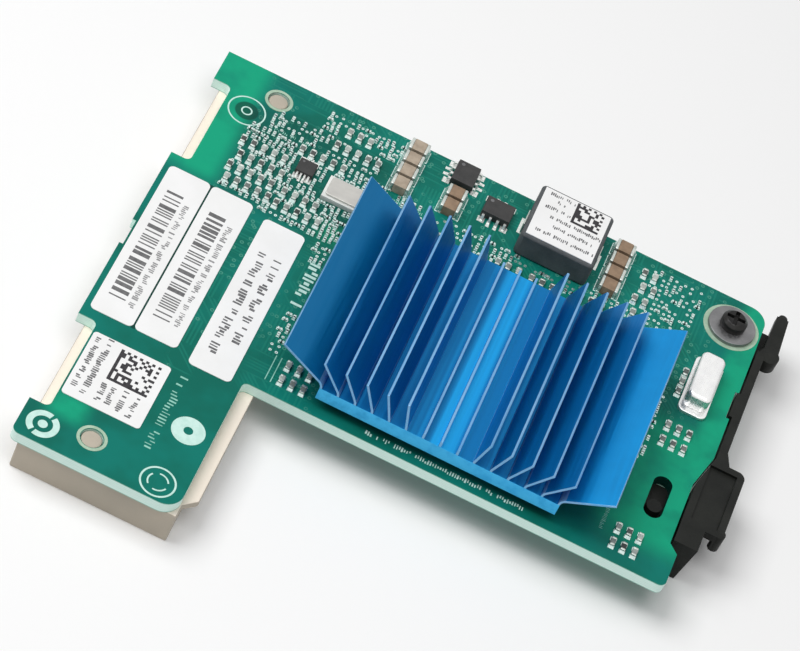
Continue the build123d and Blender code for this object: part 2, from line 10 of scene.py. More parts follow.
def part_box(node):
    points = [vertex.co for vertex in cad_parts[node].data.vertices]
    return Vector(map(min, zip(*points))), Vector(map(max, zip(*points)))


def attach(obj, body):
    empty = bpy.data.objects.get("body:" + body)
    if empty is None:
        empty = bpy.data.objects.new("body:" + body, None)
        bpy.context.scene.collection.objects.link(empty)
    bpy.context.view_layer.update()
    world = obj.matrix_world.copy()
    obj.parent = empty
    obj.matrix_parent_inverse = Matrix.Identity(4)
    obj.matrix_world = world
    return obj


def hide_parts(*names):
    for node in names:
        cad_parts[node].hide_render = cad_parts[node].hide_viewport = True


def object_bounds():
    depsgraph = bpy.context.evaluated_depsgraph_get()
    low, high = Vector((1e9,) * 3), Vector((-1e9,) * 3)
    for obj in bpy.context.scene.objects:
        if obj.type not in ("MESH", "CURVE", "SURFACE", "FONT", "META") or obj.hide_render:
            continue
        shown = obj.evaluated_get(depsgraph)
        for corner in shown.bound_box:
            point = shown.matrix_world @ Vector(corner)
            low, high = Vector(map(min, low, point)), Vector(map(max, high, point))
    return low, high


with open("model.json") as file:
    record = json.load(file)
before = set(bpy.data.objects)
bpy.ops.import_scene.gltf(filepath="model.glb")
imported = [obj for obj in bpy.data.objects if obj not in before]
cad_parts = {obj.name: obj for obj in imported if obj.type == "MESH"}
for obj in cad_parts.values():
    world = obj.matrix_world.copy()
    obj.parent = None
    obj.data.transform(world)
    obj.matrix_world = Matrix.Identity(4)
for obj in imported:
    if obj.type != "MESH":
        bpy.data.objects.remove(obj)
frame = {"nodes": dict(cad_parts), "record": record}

cad_low, cad_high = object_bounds()
mm = 0.001
quarter_turn = math.pi / 2
upright = (0.0, 0.0, 1.0)
white = (1.0, 1.0, 1.0)

# Camera, fitted to the picture and measured from the front left corner of the board's top
camera_from_corner = Vector((0.04241, -0.35136, 0.42447))
camera_forward = Vector((0.00283, 0.68963, -0.72415))
camera_roll = math.radians(26.25)
camera_sensor = 36.0
camera_lens = 170.86
camera_near = 0.01
camera_far = 20.0

# Light, in metres and watts
sky_strength = 0.24
key_place = Vector((-0.38, 0.0, 0.66))
key_size = 0.45
key_power = 3.45
fill_place = Vector((0.06, -0.20, 0.74))
fill_size = 0.45
fill_power = 1.75

# Floor: its glow to the camera, its glow to the part, its tone, its reach and its drop below the part
floor_glow = 0.05
floor_lift = 0.20
floor_tone = 0.97
floor_reach = 3.0
floor_drop = 0.02 * mm

# Board and heat sink, taken from the frame
board_low, board_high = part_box("circuit_board")
board_top = board_high.z
board_bottom = board_low.z
sink_low, sink_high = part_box("heat_sink")

# Thin layers
print_height = 0.02 * mm
ink_height = 0.015 * mm
pad_height = 0.05 * mm

# Meshes: points that are one, faces that are level, edges to ease and edges that stay sharp in the shading
merge_distance = 0.002 * mm
fine_merge = merge_distance / 4
level_angle = math.radians(1.0)
eased_angle = math.radians(35.0)
sharp_angle = math.radians(40.0)
ease_segments = 2
shade_seed = 3
place_digits = 5


def on_board(x, y):
    """A point on the board's top from millimetres along and back from its front left corner."""
    return Vector((board_low.x + x * mm, board_low.y + y * mm, board_top))


# Shader trees

class Nodes:
    """Adds nodes to a shader tree; a socket given as a value is linked, a number or a colour is set."""

    def __init__(self, tree):
        self.tree = tree

    def add(self, kind, **settings):
        node = self.tree.nodes.new(kind)
        for name, value in settings.items():
            setattr(node, name, value)
        return node

    def feed(self, socket, value):
        if isinstance(value, bpy.types.NodeSocket):
            self.tree.links.new(value, socket)
        elif socket.type == "RGBA":
            socket.default_value = (*value, 1.0)
        else:
            socket.default_value = value

    def feed_named(self, node, **values):
        """Feeds the inputs of these names, with an underscore for each space."""
        for name, value in values.items():
            self.feed(node.inputs[name.replace("_", " ")], value)
        return node.outputs

    def filled(self, node, *values):
        """Feeds a node's inputs in their order and gives its first output."""
        for socket, value in zip(node.inputs, values):
            self.feed(socket, value)
        return node.outputs[0]

    def coordinates(self):
        return self.add("ShaderNodeTexCoord").outputs["Object"]

    def facing(self):
        """The three parts of the surface's normal."""
        return self.split(self.add("ShaderNodeNewGeometry").outputs["Normal"])

    def attribute(self, name):
        return self.add("ShaderNodeAttribute", attribute_name=name).outputs["Fac"]

    def math(self, operation, first, second=0.0, clamp=False):
        return self.filled(self.add("ShaderNodeMath", operation=operation, use_clamp=clamp), first, second)

    def times(self, first, second):
        return self.math("MULTIPLY", first, second)

    def scaled(self, vector, factors):
        return self.filled(self.add("ShaderNodeVectorMath", operation="MULTIPLY"), vector, factors)

    def split(self, vector):
        node = self.add("ShaderNodeSeparateXYZ")
        self.feed(node.inputs[0], vector)
        return node.outputs["X"], node.outputs["Y"], node.outputs["Z"]

    def joined(self, x, y, z):
        return self.filled(self.add("ShaderNodeCombineXYZ"), x, y, z)

    def noise(self, vector, scale, detail=3.0, roughness=0.55):
        node = self.add("ShaderNodeTexNoise")
        return self.feed_named(node, Vector=vector, Scale=scale, Detail=detail, Roughness=roughness)["Fac"]

    def chance(self, vector):
        """A number by chance for each whole-numbered vector."""
        node = self.add("ShaderNodeTexWhiteNoise", noise_dimensions="3D")
        return self.feed_named(node, Vector=vector)["Value"]

    def ramp(self, value, low, high, to_low=0.0, to_high=1.0):
        """A smooth step from one value at the low mark to another at the high mark."""
        node = self.add("ShaderNodeMapRange", interpolation_type="SMOOTHSTEP")
        return self.feed_named(node, Value=value, From_Min=low, From_Max=high, To_Min=to_low,
                               To_Max=to_high)["Result"]

    def mix(self, factor, first, second):
        node = self.add("ShaderNodeMix", data_type="RGBA")
        colours = [socket for socket in node.inputs if socket.type == "RGBA"]
        self.feed(node.inputs[0], factor)
        self.feed(colours[0], first)
        self.feed(colours[1], second)
        return [socket for socket in node.outputs if socket.type == "RGBA"][0]

    def bump(self, height, strength, distance):
        node = self.add("ShaderNodeBump")
        return self.feed_named(node, Height=height, Strength=strength, Distance=distance)["Normal"]

    def group(self, tree, **values):
        return self.feed_named(self.add("ShaderNodeGroup", node_tree=tree), **values)


def new_group(name, inputs, outputs):
    """An empty shader group with named sockets, and its input and output nodes."""
    tree = bpy.data.node_groups.new(name, "ShaderNodeTree")
    for side, sockets in (("INPUT", inputs), ("OUTPUT", outputs)):
        for label, kind in sockets.items():
            tree.interface.new_socket(label, in_out=side, socket_type="NodeSocket" + kind)
    nodes = Nodes(tree)
    return tree, nodes, nodes.add("NodeGroupInput").outputs, nodes.add("NodeGroupOutput").inputs


# Smooth steps that turn a noise into a mask: two that reach from none to all, and one that stays above half
plain_step = (0.3, 0.7)
sharper_step = (0.35, 0.65)
faint_step = (0.25, 0.6, 0.55, 1.0)


def surface_grain_group():
    """A fine moulded or drawn grain: a value and a height, stretched along any axis."""
    finer = 4.0
    coarse_share = 0.6
    fine_share = 0.4
    tree, nodes, given, result = new_group(
        "surface_grain", {"Scale": "Float", "Stretch": "Vector"}, {"Value": "Float", "Height": "Float"})
    vector = nodes.scaled(nodes.coordinates(), given["Stretch"])
    coarse = nodes.noise(vector, given["Scale"], detail=4.0, roughness=0.6)
    fine = nodes.noise(vector, nodes.times(given["Scale"], finer), detail=2.0, roughness=0.5)
    nodes.feed(result["Value"], nodes.ramp(coarse, *plain_step))
    height = nodes.math("ADD", nodes.times(coarse, coarse_share), nodes.times(fine, fine_share))
    nodes.feed(result["Height"], height)
    return tree


def mottled_tone_group():
    """Two tones of one colour that drift into each other, with a finer speckle over them."""
    finer = 9.0
    tree, nodes, given, result = new_group(
        "mottled_tone", {"Tone": "Color", "Second Tone": "Color", "Scale": "Float", "Speckle": "Float"},
        {"Color": "Color"})
    vector = nodes.coordinates()
    drift = nodes.ramp(nodes.noise(vector, given["Scale"]), *plain_step)
    speckle = nodes.noise(vector, nodes.times(given["Scale"], finer), detail=2.0)
    shift = nodes.times(nodes.math("SUBTRACT", speckle, 0.5), given["Speckle"])
    value = nodes.math("ADD", drift, shift, clamp=True)
    nodes.feed(result["Color"], nodes.mix(value, given["Tone"], given["Second Tone"]))
    return tree


def handling_dust_group():
    """A pale film of dust and finger marks that gathers in soft patches."""
    patch_scale = 120.0
    patch_step = (0.42, 0.8)
    tree, nodes, given, result = new_group(
        "handling_dust", {"Base": "Color", "Dust": "Color", "Amount": "Float"}, {"Color": "Color"})
    patches = nodes.noise(nodes.coordinates(), patch_scale, detail=5.0, roughness=0.65)
    mask = nodes.times(nodes.ramp(patches, *patch_step), given["Amount"])
    nodes.feed(result["Color"], nodes.mix(mask, given["Base"], given["Dust"]))
    return tree


surface_grain = surface_grain_group()
mottled_tone = mottled_tone_group()
handling_dust = handling_dust_group()
dust_tone = (0.75, 0.74, 0.70)
grain_strength = 0.35
upward_step = (0.7, 0.95)
materials = {}


def emptied(owner):
    """The emptied shader tree of a material or of the world."""
    owner.use_nodes = True
    owner.node_tree.nodes.clear()
    return Nodes(owner.node_tree)


def new_material(name):
    """Enters a material with one Principled shader, and gives its nodes and that shader."""
    materials[name] = bpy.data.materials.new(name)
    nodes = emptied(materials[name])
    output = nodes.add("ShaderNodeOutputMaterial")
    shader = nodes.add("ShaderNodeBsdfPrincipled")
    nodes.feed(output.inputs["Surface"], shader.outputs["BSDF"])
    return nodes, shader


def finish(name, tone, second_tone, drift, roughness, grain, depth, stretch=(1.0, 1.0, 1.0), metallic=0.0,
           specular=0.5, speckle=0.3, dust=0.0, painted_light_tone=None, darkest=None):
    """A surface with drifting tone, a grain that also roughens it and a trace of dust. Drift and grain are
    scales, and depth is the grain's. Where they are given, it has a paler tone painted as light on what
    looks up from under the board, or separate solids down to a darkest tone."""
    nodes, shader = new_material(name)
    toned = nodes.group(mottled_tone, Tone=tone, Second_Tone=second_tone, Scale=drift, Speckle=speckle)
    shown = nodes.group(handling_dust, Base=toned["Color"], Dust=dust_tone, Amount=dust)["Color"]
    grained = nodes.group(surface_grain, Scale=grain, Stretch=stretch)
    # Painted light: faces that look up from under the board's top get a paler tone
    if painted_light_tone:
        upward = nodes.ramp(nodes.facing()[2], *upward_step)
        below = nodes.ramp(nodes.split(nodes.coordinates())[2], board_top, board_bottom)
        shown = nodes.mix(nodes.times(upward, below), shown, painted_light_tone)
    if darkest:
        shown = nodes.mix(nodes.attribute("shade"), shown, darkest)
    nodes.feed_named(shader, Base_Color=shown, Roughness=nodes.ramp(grained["Value"], 0.0, 1.0, *roughness),
                     Normal=nodes.bump(grained["Height"], grain_strength, depth), Metallic=metallic,
                     Specular_IOR_Level=specular)


# Board finish

mask_teal = (0.004, 0.185, 0.146)
mask_deep = (0.003, 0.135, 0.098)
mask_bright = (0.008, 0.365, 0.205)
mask_trace = (0.014, 0.240, 0.175)
mask_via = (0.10, 0.36, 0.27)
# A dark tone of the mask: the dark disc in the ear's ring, and painted shade among the crowded parts, in the
# gap between two labels and on the slot's walls
mask_dark_and_shade = (0.002, 0.040, 0.030)
laminate_edge = (0.76, 0.98, 0.91)
laminate_layer = (0.55, 0.88, 0.78)
laminate_layers = 6.0

# Zones of the board from its front left corner: left, right, front, back and softness, in millimetres
copper_pours = [
    (-2.0, 8.0, 63.0, 93.0, 2.0),
    (83.5, 99.0, 34.0, 60.0, 3.0),
    (93.0, 99.0, 55.0, 93.0, 1.5),
    (2.5, 8.5, 6.0, 11.0, 1.6),
    (26.0, 31.0, 62.0, 66.0, 1.5),
]
wired_fields = [
    (8.0, 34.0, 62.0, 92.0, 1.5),
    (33.0, 80.0, 70.0, 92.0, 1.5),
    (76.0, 90.0, 54.0, 92.0, 1.5),
    (26.0, 37.0, 27.0, 62.0, 1.5),
    (15.0, 19.0, 24.0, 62.0, 0.8),
]
# Painted shade among the crowded parts and on the slot's walls
crowded_shade_zone = (8.6, 33.5, 61.8, 84.0, 2.0)
slot_shade_zone = (88.4, 93.6, 39.0, 49.6, 0.2)
gap_overlap = 0.2
gap_softness = 0.1

# Middle of the ring printed on the left ear, and the radii at which the darker mask in it ends and starts
# to fade, in millimetres
ear_mark = (7.15, 80.5)
ear_disc_end = 2.1
ear_disc_start = 1.8

# How much of each tone shows over the one below it
trace_cover = 0.40
pour_cover = 0.9
via_cover = 0.6
# Painted shade among the crowded parts and in the gap between two labels
crowded_shade_cover = 0.45
gap_shade_cover = 0.9
ear_cover = 0.75
rim_cover = 0.6

# Traces and vias: size of a patch of traces, their pitch and share, the vias in a millimetre, the outer and
# inner edges of their rings and the patches that have them
trace_patch = 5.3
trace_pitch = 0.62
trace_share = 0.62
via_scale = 0.55
via_outside = (0.20, 0.17)
via_inside = (0.07, 0.10)
via_patches = (0.46, 0.52)

# The cut edge: the edges of a layer, how its fraying is stretched, and the rims as shares of the thickness
layer_edge = (0.12, 0.04)
fray_stretch = (0.9, 0.9, 4.0)
lower_rim = (0.10, 0.02)
upper_rim = (0.90, 0.98)
level_step = (0.4, 0.6)

# Drifts of the mask, as changes in a millimetre
tone_drift = 0.09
via_drift = 0.11
pour_drift = 0.16
dimple_drift = 2.2

# Relief of the mask, as shares of its depth, and its sheen
trace_rise = 0.7
dimple_rise = 0.25
via_rise = 0.6
mask_depth = 0.03 * mm
mask_strength = 0.5
mask_roughness = (0.34, 0.50)
mask_specular = 0.12


def board_zone_group():
    """A soft-edged rectangle on the board, in millimetres from the middle of the part."""
    names = ("X", "Y", "Left", "Right", "Front", "Back", "Softness")
    tree, nodes, given, result = new_group("board_zone", dict.fromkeys(names, "Float"), {"Mask": "Float"})

    def rise(value, edge, sign):
        distance = nodes.times(nodes.math("SUBTRACT", value, edge), sign)
        return nodes.ramp(nodes.math("DIVIDE", distance, given["Softness"]), -1.0, 1.0)

    across = nodes.times(rise(given["X"], given["Left"], 1.0), rise(given["X"], given["Right"], -1.0))
    along = nodes.times(rise(given["Y"], given["Front"], 1.0), rise(given["Y"], given["Back"], -1.0))
    nodes.feed(result["Mask"], nodes.times(across, along))
    return tree


def trace_lines_group():
    """Runs of parallel traces: patches of the board carry lines along X, along Y or on the slant."""
    patch_seed = 3.0
    line_seed = 7.0
    along_x_share = 0.42
    slant_from = 0.80
    slant_scale = 0.7071
    line_edge = (0.30, 0.20)
    tree, nodes, given, result = new_group(
        "trace_lines", {"Vector": "Vector", "Patch": "Float", "Pitch": "Float", "Share": "Float"},
        {"Mask": "Float"})

    def either(mask, first, second):
        other = nodes.math("SUBTRACT", 1.0, mask)
        return nodes.math("ADD", nodes.times(first, mask), nodes.times(second, other))

    x, y, _ = nodes.split(given["Vector"])
    cell_x = nodes.math("FLOOR", nodes.math("DIVIDE", x, given["Patch"]))
    cell_y = nodes.math("FLOOR", nodes.math("DIVIDE", y, given["Patch"]))
    pick = nodes.chance(nodes.joined(cell_x, cell_y, patch_seed))
    straight = either(nodes.math("LESS_THAN", pick, along_x_share), y, x)
    slant = nodes.times(nodes.math("ADD", x, y), slant_scale)
    across = either(nodes.math("GREATER_THAN", pick, slant_from), slant, straight)
    step = nodes.math("DIVIDE", across, given["Pitch"])
    line = nodes.math("ABSOLUTE", nodes.math("SUBTRACT", nodes.math("FRACT", step), 0.5))
    stroke = nodes.ramp(line, *line_edge)
    drawn = nodes.chance(nodes.joined(nodes.math("FLOOR", step), pick, line_seed))
    kept = nodes.math("LESS_THAN", drawn, given["Share"])
    nodes.feed(result["Mask"], nodes.times(stroke, kept))
    return tree


board_zone = board_zone_group()
trace_lines = trace_lines_group()


def zone(nodes, x, y, left, right, front, back, softness):
    """The mask of a zone of the board."""
    corner = board_low / mm
    return nodes.group(board_zone, X=x, Y=y, Left=corner.x + left, Right=corner.x + right,
                       Front=corner.y + front, Back=corner.y + back, Softness=softness)["Mask"]


def any_zone(nodes, x, y, zones):
    """The mask of what lies in any of several zones."""
    mask = zone(nodes, x, y, *zones[0])
    for bounds in zones[1:]:
        mask = nodes.math("MAXIMUM", mask, zone(nodes, x, y, *bounds))
    return mask


def via_rings(nodes, vector):
    """Small rings strewn over the board in patches."""
    cells = nodes.add("ShaderNodeTexVoronoi", voronoi_dimensions="2D", feature="F1")
    distance = nodes.feed_named(cells, Vector=vector, Scale=via_scale)["Distance"]
    ring = nodes.times(nodes.ramp(distance, *via_outside), nodes.ramp(distance, *via_inside))
    return nodes.times(ring, nodes.ramp(nodes.noise(vector, via_drift, detail=1.0), *via_patches))


def wired_face(nodes, vector, x, y):
    """The tone of the mask over pours, traces and vias, with the masks of traces and vias."""
    ripple = nodes.ramp(nodes.noise(vector, pour_drift), *faint_step)
    pours = nodes.times(any_zone(nodes, x, y, copper_pours), ripple)
    drift = nodes.ramp(nodes.noise(vector, tone_drift), *sharper_step)
    tone = nodes.mix(drift, mask_deep, mask_teal)
    open_field = nodes.math("SUBTRACT", 1.0, nodes.times(pours, pour_cover))
    wired = nodes.times(any_zone(nodes, x, y, wired_fields), open_field)
    lines = nodes.group(trace_lines, Vector=vector, Patch=trace_patch, Pitch=trace_pitch, Share=trace_share)
    traces = nodes.times(lines["Mask"], wired)
    tone = nodes.mix(nodes.times(traces, trace_cover), tone, mask_trace)
    tone = nodes.mix(pours, tone, mask_bright)
    vias = nodes.times(via_rings(nodes, vector), wired)
    tone = nodes.mix(nodes.times(vias, via_cover), tone, mask_via)
    return tone, traces, vias


def darker_places(nodes, tone, x, y):
    """Paints shade on the mask among the crowded parts and in the gap between two labels, and darkens it in
    the ear's ring.
    """
    label_low, label_high = [(corner - board_low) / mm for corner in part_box("left_label")]
    next_label = (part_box("middle_label")[0] - board_low) / mm
    gap_left = label_high.x - gap_overlap
    label_gap_shade = (gap_left, next_label.x + gap_overlap, label_low.y, label_high.y, gap_softness)
    # Painted shade among the crowded parts and in the gap between two labels
    for bounds, cover in ((crowded_shade_zone, crowded_shade_cover), (label_gap_shade, gap_shade_cover)):
        tone = nodes.mix(nodes.times(zone(nodes, x, y, *bounds), cover), tone, mask_dark_and_shade)
    mark = on_board(*ear_mark) / mm
    away_x = nodes.math("POWER", nodes.math("SUBTRACT", x, mark.x), 2.0)
    away_y = nodes.math("POWER", nodes.math("SUBTRACT", y, mark.y), 2.0)
    away = nodes.math("SQRT", nodes.math("ADD", away_x, away_y))
    return nodes.mix(nodes.ramp(away, ear_disc_end, ear_disc_start, 0.0, ear_cover), tone, mask_dark_and_shade)


def cut_edge(nodes, vector, x, y, z):
    """The laminate's pale edge, with frayed layers, the mask's green at its rims and painted shade on the
    slot's walls.
    """
    thickness = (board_top - board_bottom) / mm
    depth = nodes.math("DIVIDE", nodes.math("SUBTRACT", z, board_bottom / mm), thickness)
    part_way = nodes.math("FRACT", nodes.times(depth, laminate_layers))
    layer = nodes.ramp(nodes.math("ABSOLUTE", nodes.math("SUBTRACT", part_way, 0.5)), *layer_edge)
    fray = nodes.ramp(nodes.noise(nodes.scaled(vector, fray_stretch), 1.0, detail=4.0), *sharper_step)
    tone = nodes.mix(nodes.times(layer, fray), laminate_edge, laminate_layer)
    rim = nodes.math("MAXIMUM", nodes.ramp(depth, *lower_rim), nodes.ramp(depth, *upper_rim))
    tone = nodes.mix(nodes.times(rim, rim_cover), tone, mask_bright)
    # Painted shade on the slot's walls
    return nodes.mix(zone(nodes, x, y, *slot_shade_zone), tone, mask_dark_and_shade)


def solder_mask():
    """Green solder mask over copper pours, traces and vias, with the laminate's pale cut edge."""
    nodes, shader = new_material("solder_mask")
    vector = nodes.scaled(nodes.coordinates(), (1 / mm, 1 / mm, 1 / mm))
    x, y, z = nodes.split(vector)
    tone, traces, vias = wired_face(nodes, vector, x, y)
    tone = darker_places(nodes, tone, x, y)
    level = nodes.ramp(nodes.math("ABSOLUTE", nodes.facing()[2]), *level_step)
    tone = nodes.mix(level, cut_edge(nodes, vector, x, y, z), tone)
    dimple = nodes.noise(vector, dimple_drift)
    height = nodes.math("ADD", nodes.times(traces, trace_rise), nodes.times(dimple, dimple_rise))
    height = nodes.math("ADD", height, nodes.times(vias, via_rise))
    nodes.feed_named(shader, Base_Color=tone, Roughness=nodes.ramp(dimple, *plain_step, *mask_roughness),
                     Normal=nodes.bump(height, mask_strength, mask_depth), Specular_IOR_Level=mask_specular)


# Heat sink finish

sink_blue = (0.005, 0.275, 0.650)
sink_deep = (0.004, 0.225, 0.550)
# Painted shade on the left side's level faces, and a navy painted shade on the steep fin faces
sink_painted_shade = (0.002, 0.125, 0.300)
sink_navy_shade = (0.003, 0.162, 0.465)
sink_floor = (0.004, 0.165, 0.410)
# Tone of the painted highlight along the channel's floor, and of its drawn streaks
sink_streak_highlight = (0.014, 0.405, 0.850)
# Paler sawn ends that also carry a painted highlight, and a painted highlight on the fin tips
sink_sawn_and_highlight = (0.060, 0.470, 0.840)
sink_tip_highlight = (0.210, 0.430, 0.690)
sink_middle = (sink_low.x + sink_high.x) / 2
narrow_face = 0.45 * mm
base_thickness = 2.4 * mm
base_fade = 0.1 * mm

# Marks of drawing on the metal and patches of painted highlight: the scale of the grain, the streaks and the
# highlight patches, and how each is stretched
grain_scale = 2600.0
grain_stretch = (1.0, 0.025, 1.0)
streak_scale = 620.0
streak_stretch = (1.0, 0.012, 0.0)
highlight_patch_scale = 500.0
highlight_patch_stretch = (1.0, 0.15, 1.0)
sink_drift = 90.0
sink_speckle = 0.2

# Where faces turn steep, where they are floor and where they are sawn ends, by how they face
steep_step = (0.60, 0.75)
floor_step = (0.90, 0.98)
end_step = (0.6, 0.9)

# How much of the grain, of the painted shade on the left side and of the navy painted shade shows, and the
# sheen
grain_cover = 0.35
painted_shade_cover = 0.85
navy_shade_cover = 0.9
highlight_cover = 0.7
sink_depth = 0.02 * mm
sink_strength = 0.3
sink_roughness = (0.30, 0.46)
sink_metallic = 0.5
sink_specular = 0.15

# The painted highlight along the middle of the channel's floor: how far it lies off the middle, its half
# width, where it ends and how much the streaks darken or brighten it
highlight_offset = 0.4 * mm
highlight_half = 1.2 * mm
highlight_fade = 2.8 * mm
streak_step = (0.4, 0.7, -0.1, 0.35)


def drawn_blue(nodes, grain, x, z, facing_x):
    """The blue of the fins, with painted shade on the left side's level faces and navy painted shade high on
    steep ones.
    """
    tone = nodes.group(mottled_tone, Tone=sink_deep, Second_Tone=sink_blue, Scale=sink_drift,
                       Speckle=sink_speckle)
    base = nodes.mix(nodes.times(grain, grain_cover), tone["Color"], sink_blue)
    steep = nodes.ramp(nodes.math("ABSOLUTE", facing_x), *steep_step)
    # Painted shade on the level faces of the left side
    left = nodes.ramp(x, sink_low.x, sink_middle, painted_shade_cover, 0.0)
    base = nodes.mix(nodes.times(left, nodes.ramp(steep, 1.0, 0.0)), base, sink_painted_shade)
    # Navy painted shade on the steep fin faces, growing towards their tops
    high = nodes.times(nodes.ramp(z, sink_low.z, sink_high.z, 0.0, navy_shade_cover), steep)
    return nodes.mix(high, base, sink_navy_shade)


def channel_floor(nodes, vector, x):
    """The floor between the fins, with drawn streaks and a painted highlight along its middle."""
    streaks = nodes.noise(nodes.scaled(vector, streak_stretch), streak_scale, detail=2.0)
    aside = nodes.math("ABSOLUTE", nodes.math("SUBTRACT", x, sink_middle + highlight_offset))
    # Painted highlight along the middle of the channel's floor
    highlight_band = nodes.ramp(aside, highlight_fade, highlight_half, 0.0, highlight_cover)
    highlight_band = nodes.math("ADD", highlight_band, nodes.ramp(streaks, *streak_step))
    return nodes.mix(highlight_band, sink_floor, sink_streak_highlight)


def blue_anodised():
    """Blue anodised aluminium, drawn along the fins, with paler sawn ends and a painted highlight on the
    sawn ends and the fin tips.
    """
    nodes, shader = new_material("blue_anodised")
    vector = nodes.coordinates()
    x, _, z = nodes.split(vector)
    facing_x, facing_y, facing_z = nodes.facing()
    grain = nodes.group(surface_grain, Scale=grain_scale, Stretch=grain_stretch)
    base = drawn_blue(nodes, grain["Value"], x, z, facing_x)
    base = nodes.mix(nodes.ramp(facing_z, *floor_step), base, channel_floor(nodes, vector, x))
    # Patches of painted highlight on the sawn ends and on the fin tips
    highlight_patches = nodes.ramp(nodes.noise(nodes.scaled(vector, highlight_patch_stretch), highlight_patch_scale), *faint_step)
    sawn = nodes.times(nodes.ramp(nodes.math("ABSOLUTE", facing_y), *end_step), highlight_patches)
    base = nodes.mix(sawn, base, sink_sawn_and_highlight)
    # Painted highlight on the narrow faces of the fin tips
    base_top = sink_low.z + base_thickness
    above = nodes.ramp(z, base_top, base_top + base_fade)
    tip = nodes.times(nodes.times(nodes.attribute("narrow"), above), highlight_patches)
    base = nodes.mix(tip, base, sink_tip_highlight)
    nodes.feed_named(shader, Base_Color=base, Metallic=sink_metallic, Specular_IOR_Level=sink_specular,
                     Roughness=nodes.ramp(grain["Value"], 0.0, 1.0, *sink_roughness),
                     Normal=nodes.bump(grain["Height"], sink_strength, sink_depth))


solder_mask()
blue_anodised()


# Plastics, paper and ferrite

finish("label_paper", (0.93, 0.93, 0.93), (0.89, 0.89, 0.885), drift=160.0, roughness=(0.55, 0.70),
       grain=5200.0, depth=0.004 * mm, specular=0.3, speckle=0.25, dust=0.03)
# The connector's faces that look up from under the board's top get a paler tone as painted light
finish("connector_plastic", (0.52, 0.46, 0.375), (0.44, 0.395, 0.325), drift=70.0, roughness=(0.50, 0.66),
       grain=4200.0, depth=0.012 * mm, specular=0.25, speckle=0.5, dust=0.05, painted_light_tone=(0.90, 0.80, 0.69))
finish("wafer_plastic", (0.016, 0.016, 0.018), (0.028, 0.028, 0.030), drift=200.0, roughness=(0.45, 0.6),
       grain=4200.0, depth=0.008 * mm, specular=0.35, dust=0.02)
finish("chip_laminate", (0.010, 0.120, 0.070), (0.014, 0.090, 0.056), drift=200.0, roughness=(0.4, 0.55),
       grain=3600.0, depth=0.008 * mm, specular=0.3)
finish("thermal_adhesive", (0.66, 0.66, 0.64), (0.58, 0.58, 0.56), drift=500.0, roughness=(0.6, 0.8),
       grain=4000.0, depth=0.01 * mm, specular=0.25)
finish("clip_plastic", (0.006, 0.007, 0.006), (0.013, 0.014, 0.012), drift=140.0, roughness=(0.40, 0.58),
       grain=3400.0, depth=0.02 * mm, specular=0.16, speckle=0.5, dust=0.015)
finish("chip_plastic", (0.024, 0.024, 0.024), (0.038, 0.037, 0.037), drift=500.0, roughness=(0.48, 0.62),
       grain=5200.0, depth=0.01 * mm, specular=0.35, speckle=0.6, dust=0.03)
finish("resistor_black", (0.020, 0.022, 0.022), (0.036, 0.040, 0.040), drift=900.0, roughness=(0.3, 0.5),
       grain=4000.0, depth=0.006 * mm, specular=0.35)
finish("ferrite", (0.060, 0.068, 0.073), (0.092, 0.100, 0.105), drift=260.0, roughness=(0.55, 0.75),
       grain=4200.0, depth=0.03 * mm, specular=0.3, speckle=0.7, dust=0.04)

# Ceramics

fired = {"roughness": (0.42, 0.58), "grain": 5000.0}
finish("tan_ceramic", (0.32, 0.220, 0.145), (0.235, 0.16, 0.105), drift=700.0, depth=0.008 * mm,
       specular=0.3, speckle=0.5, **fired)
# A paler copy of the tan ceramic: painted light on the left power capacitors
finish("painted_light_tan", (0.47, 0.39, 0.30), (0.36, 0.29, 0.22), drift=700.0, depth=0.006 * mm, specular=0.35,
       **fired)
finish("grey_ceramic", (0.52, 0.58, 0.54), (0.38, 0.43, 0.40), drift=900.0, depth=0.008 * mm, specular=0.3,
       speckle=0.5, darkest=(0.035, 0.040, 0.038), **fired)
finish("pale_ceramic", (0.82, 0.83, 0.81), (0.72, 0.74, 0.71), drift=500.0, roughness=(0.40, 0.55),
       grain=5000.0, depth=0.008 * mm, specular=0.35, speckle=0.4)

# Metals

finish("lid_metal", (0.56, 0.55, 0.52), (0.48, 0.47, 0.45), drift=160.0, roughness=(0.28, 0.42),
       grain=3000.0, depth=0.006 * mm, stretch=(0.1, 1.0, 1.0), metallic=1.0)
finish("can_metal", (0.90, 0.90, 0.89), (0.80, 0.80, 0.80), drift=260.0, roughness=(0.22, 0.36),
       grain=2200.0, depth=0.008 * mm, stretch=(1.0, 0.15, 1.0), metallic=0.8)
finish("screw_steel", (0.014, 0.014, 0.015), (0.030, 0.029, 0.028), drift=400.0, roughness=(0.30, 0.46),
       grain=3000.0, depth=0.008 * mm, metallic=0.7, specular=0.3)
finish("washer_steel", (0.24, 0.24, 0.245), (0.17, 0.17, 0.175), drift=300.0, roughness=(0.30, 0.48),
       grain=2600.0, depth=0.01 * mm, metallic=0.9, dust=0.04)
finish("tinned_metal", (0.64, 0.68, 0.64), (0.48, 0.52, 0.49), drift=900.0, roughness=(0.26, 0.44),
       grain=2800.0, depth=0.01 * mm, metallic=0.8)
finish("bright_tin", (0.86, 0.88, 0.85), (0.74, 0.76, 0.73), drift=900.0, roughness=(0.24, 0.40),
       grain=2800.0, depth=0.008 * mm, metallic=0.6)
finish("dull_tin", (0.43, 0.57, 0.44), (0.34, 0.48, 0.36), drift=700.0, roughness=(0.45, 0.62),
       grain=3000.0, depth=0.01 * mm, metallic=0.3, specular=0.3)
finish("solder", (0.78, 0.90, 0.87), (0.58, 0.72, 0.69), drift=1400.0, roughness=(0.22, 0.40),
       grain=2600.0, depth=0.02 * mm, metallic=0.8)
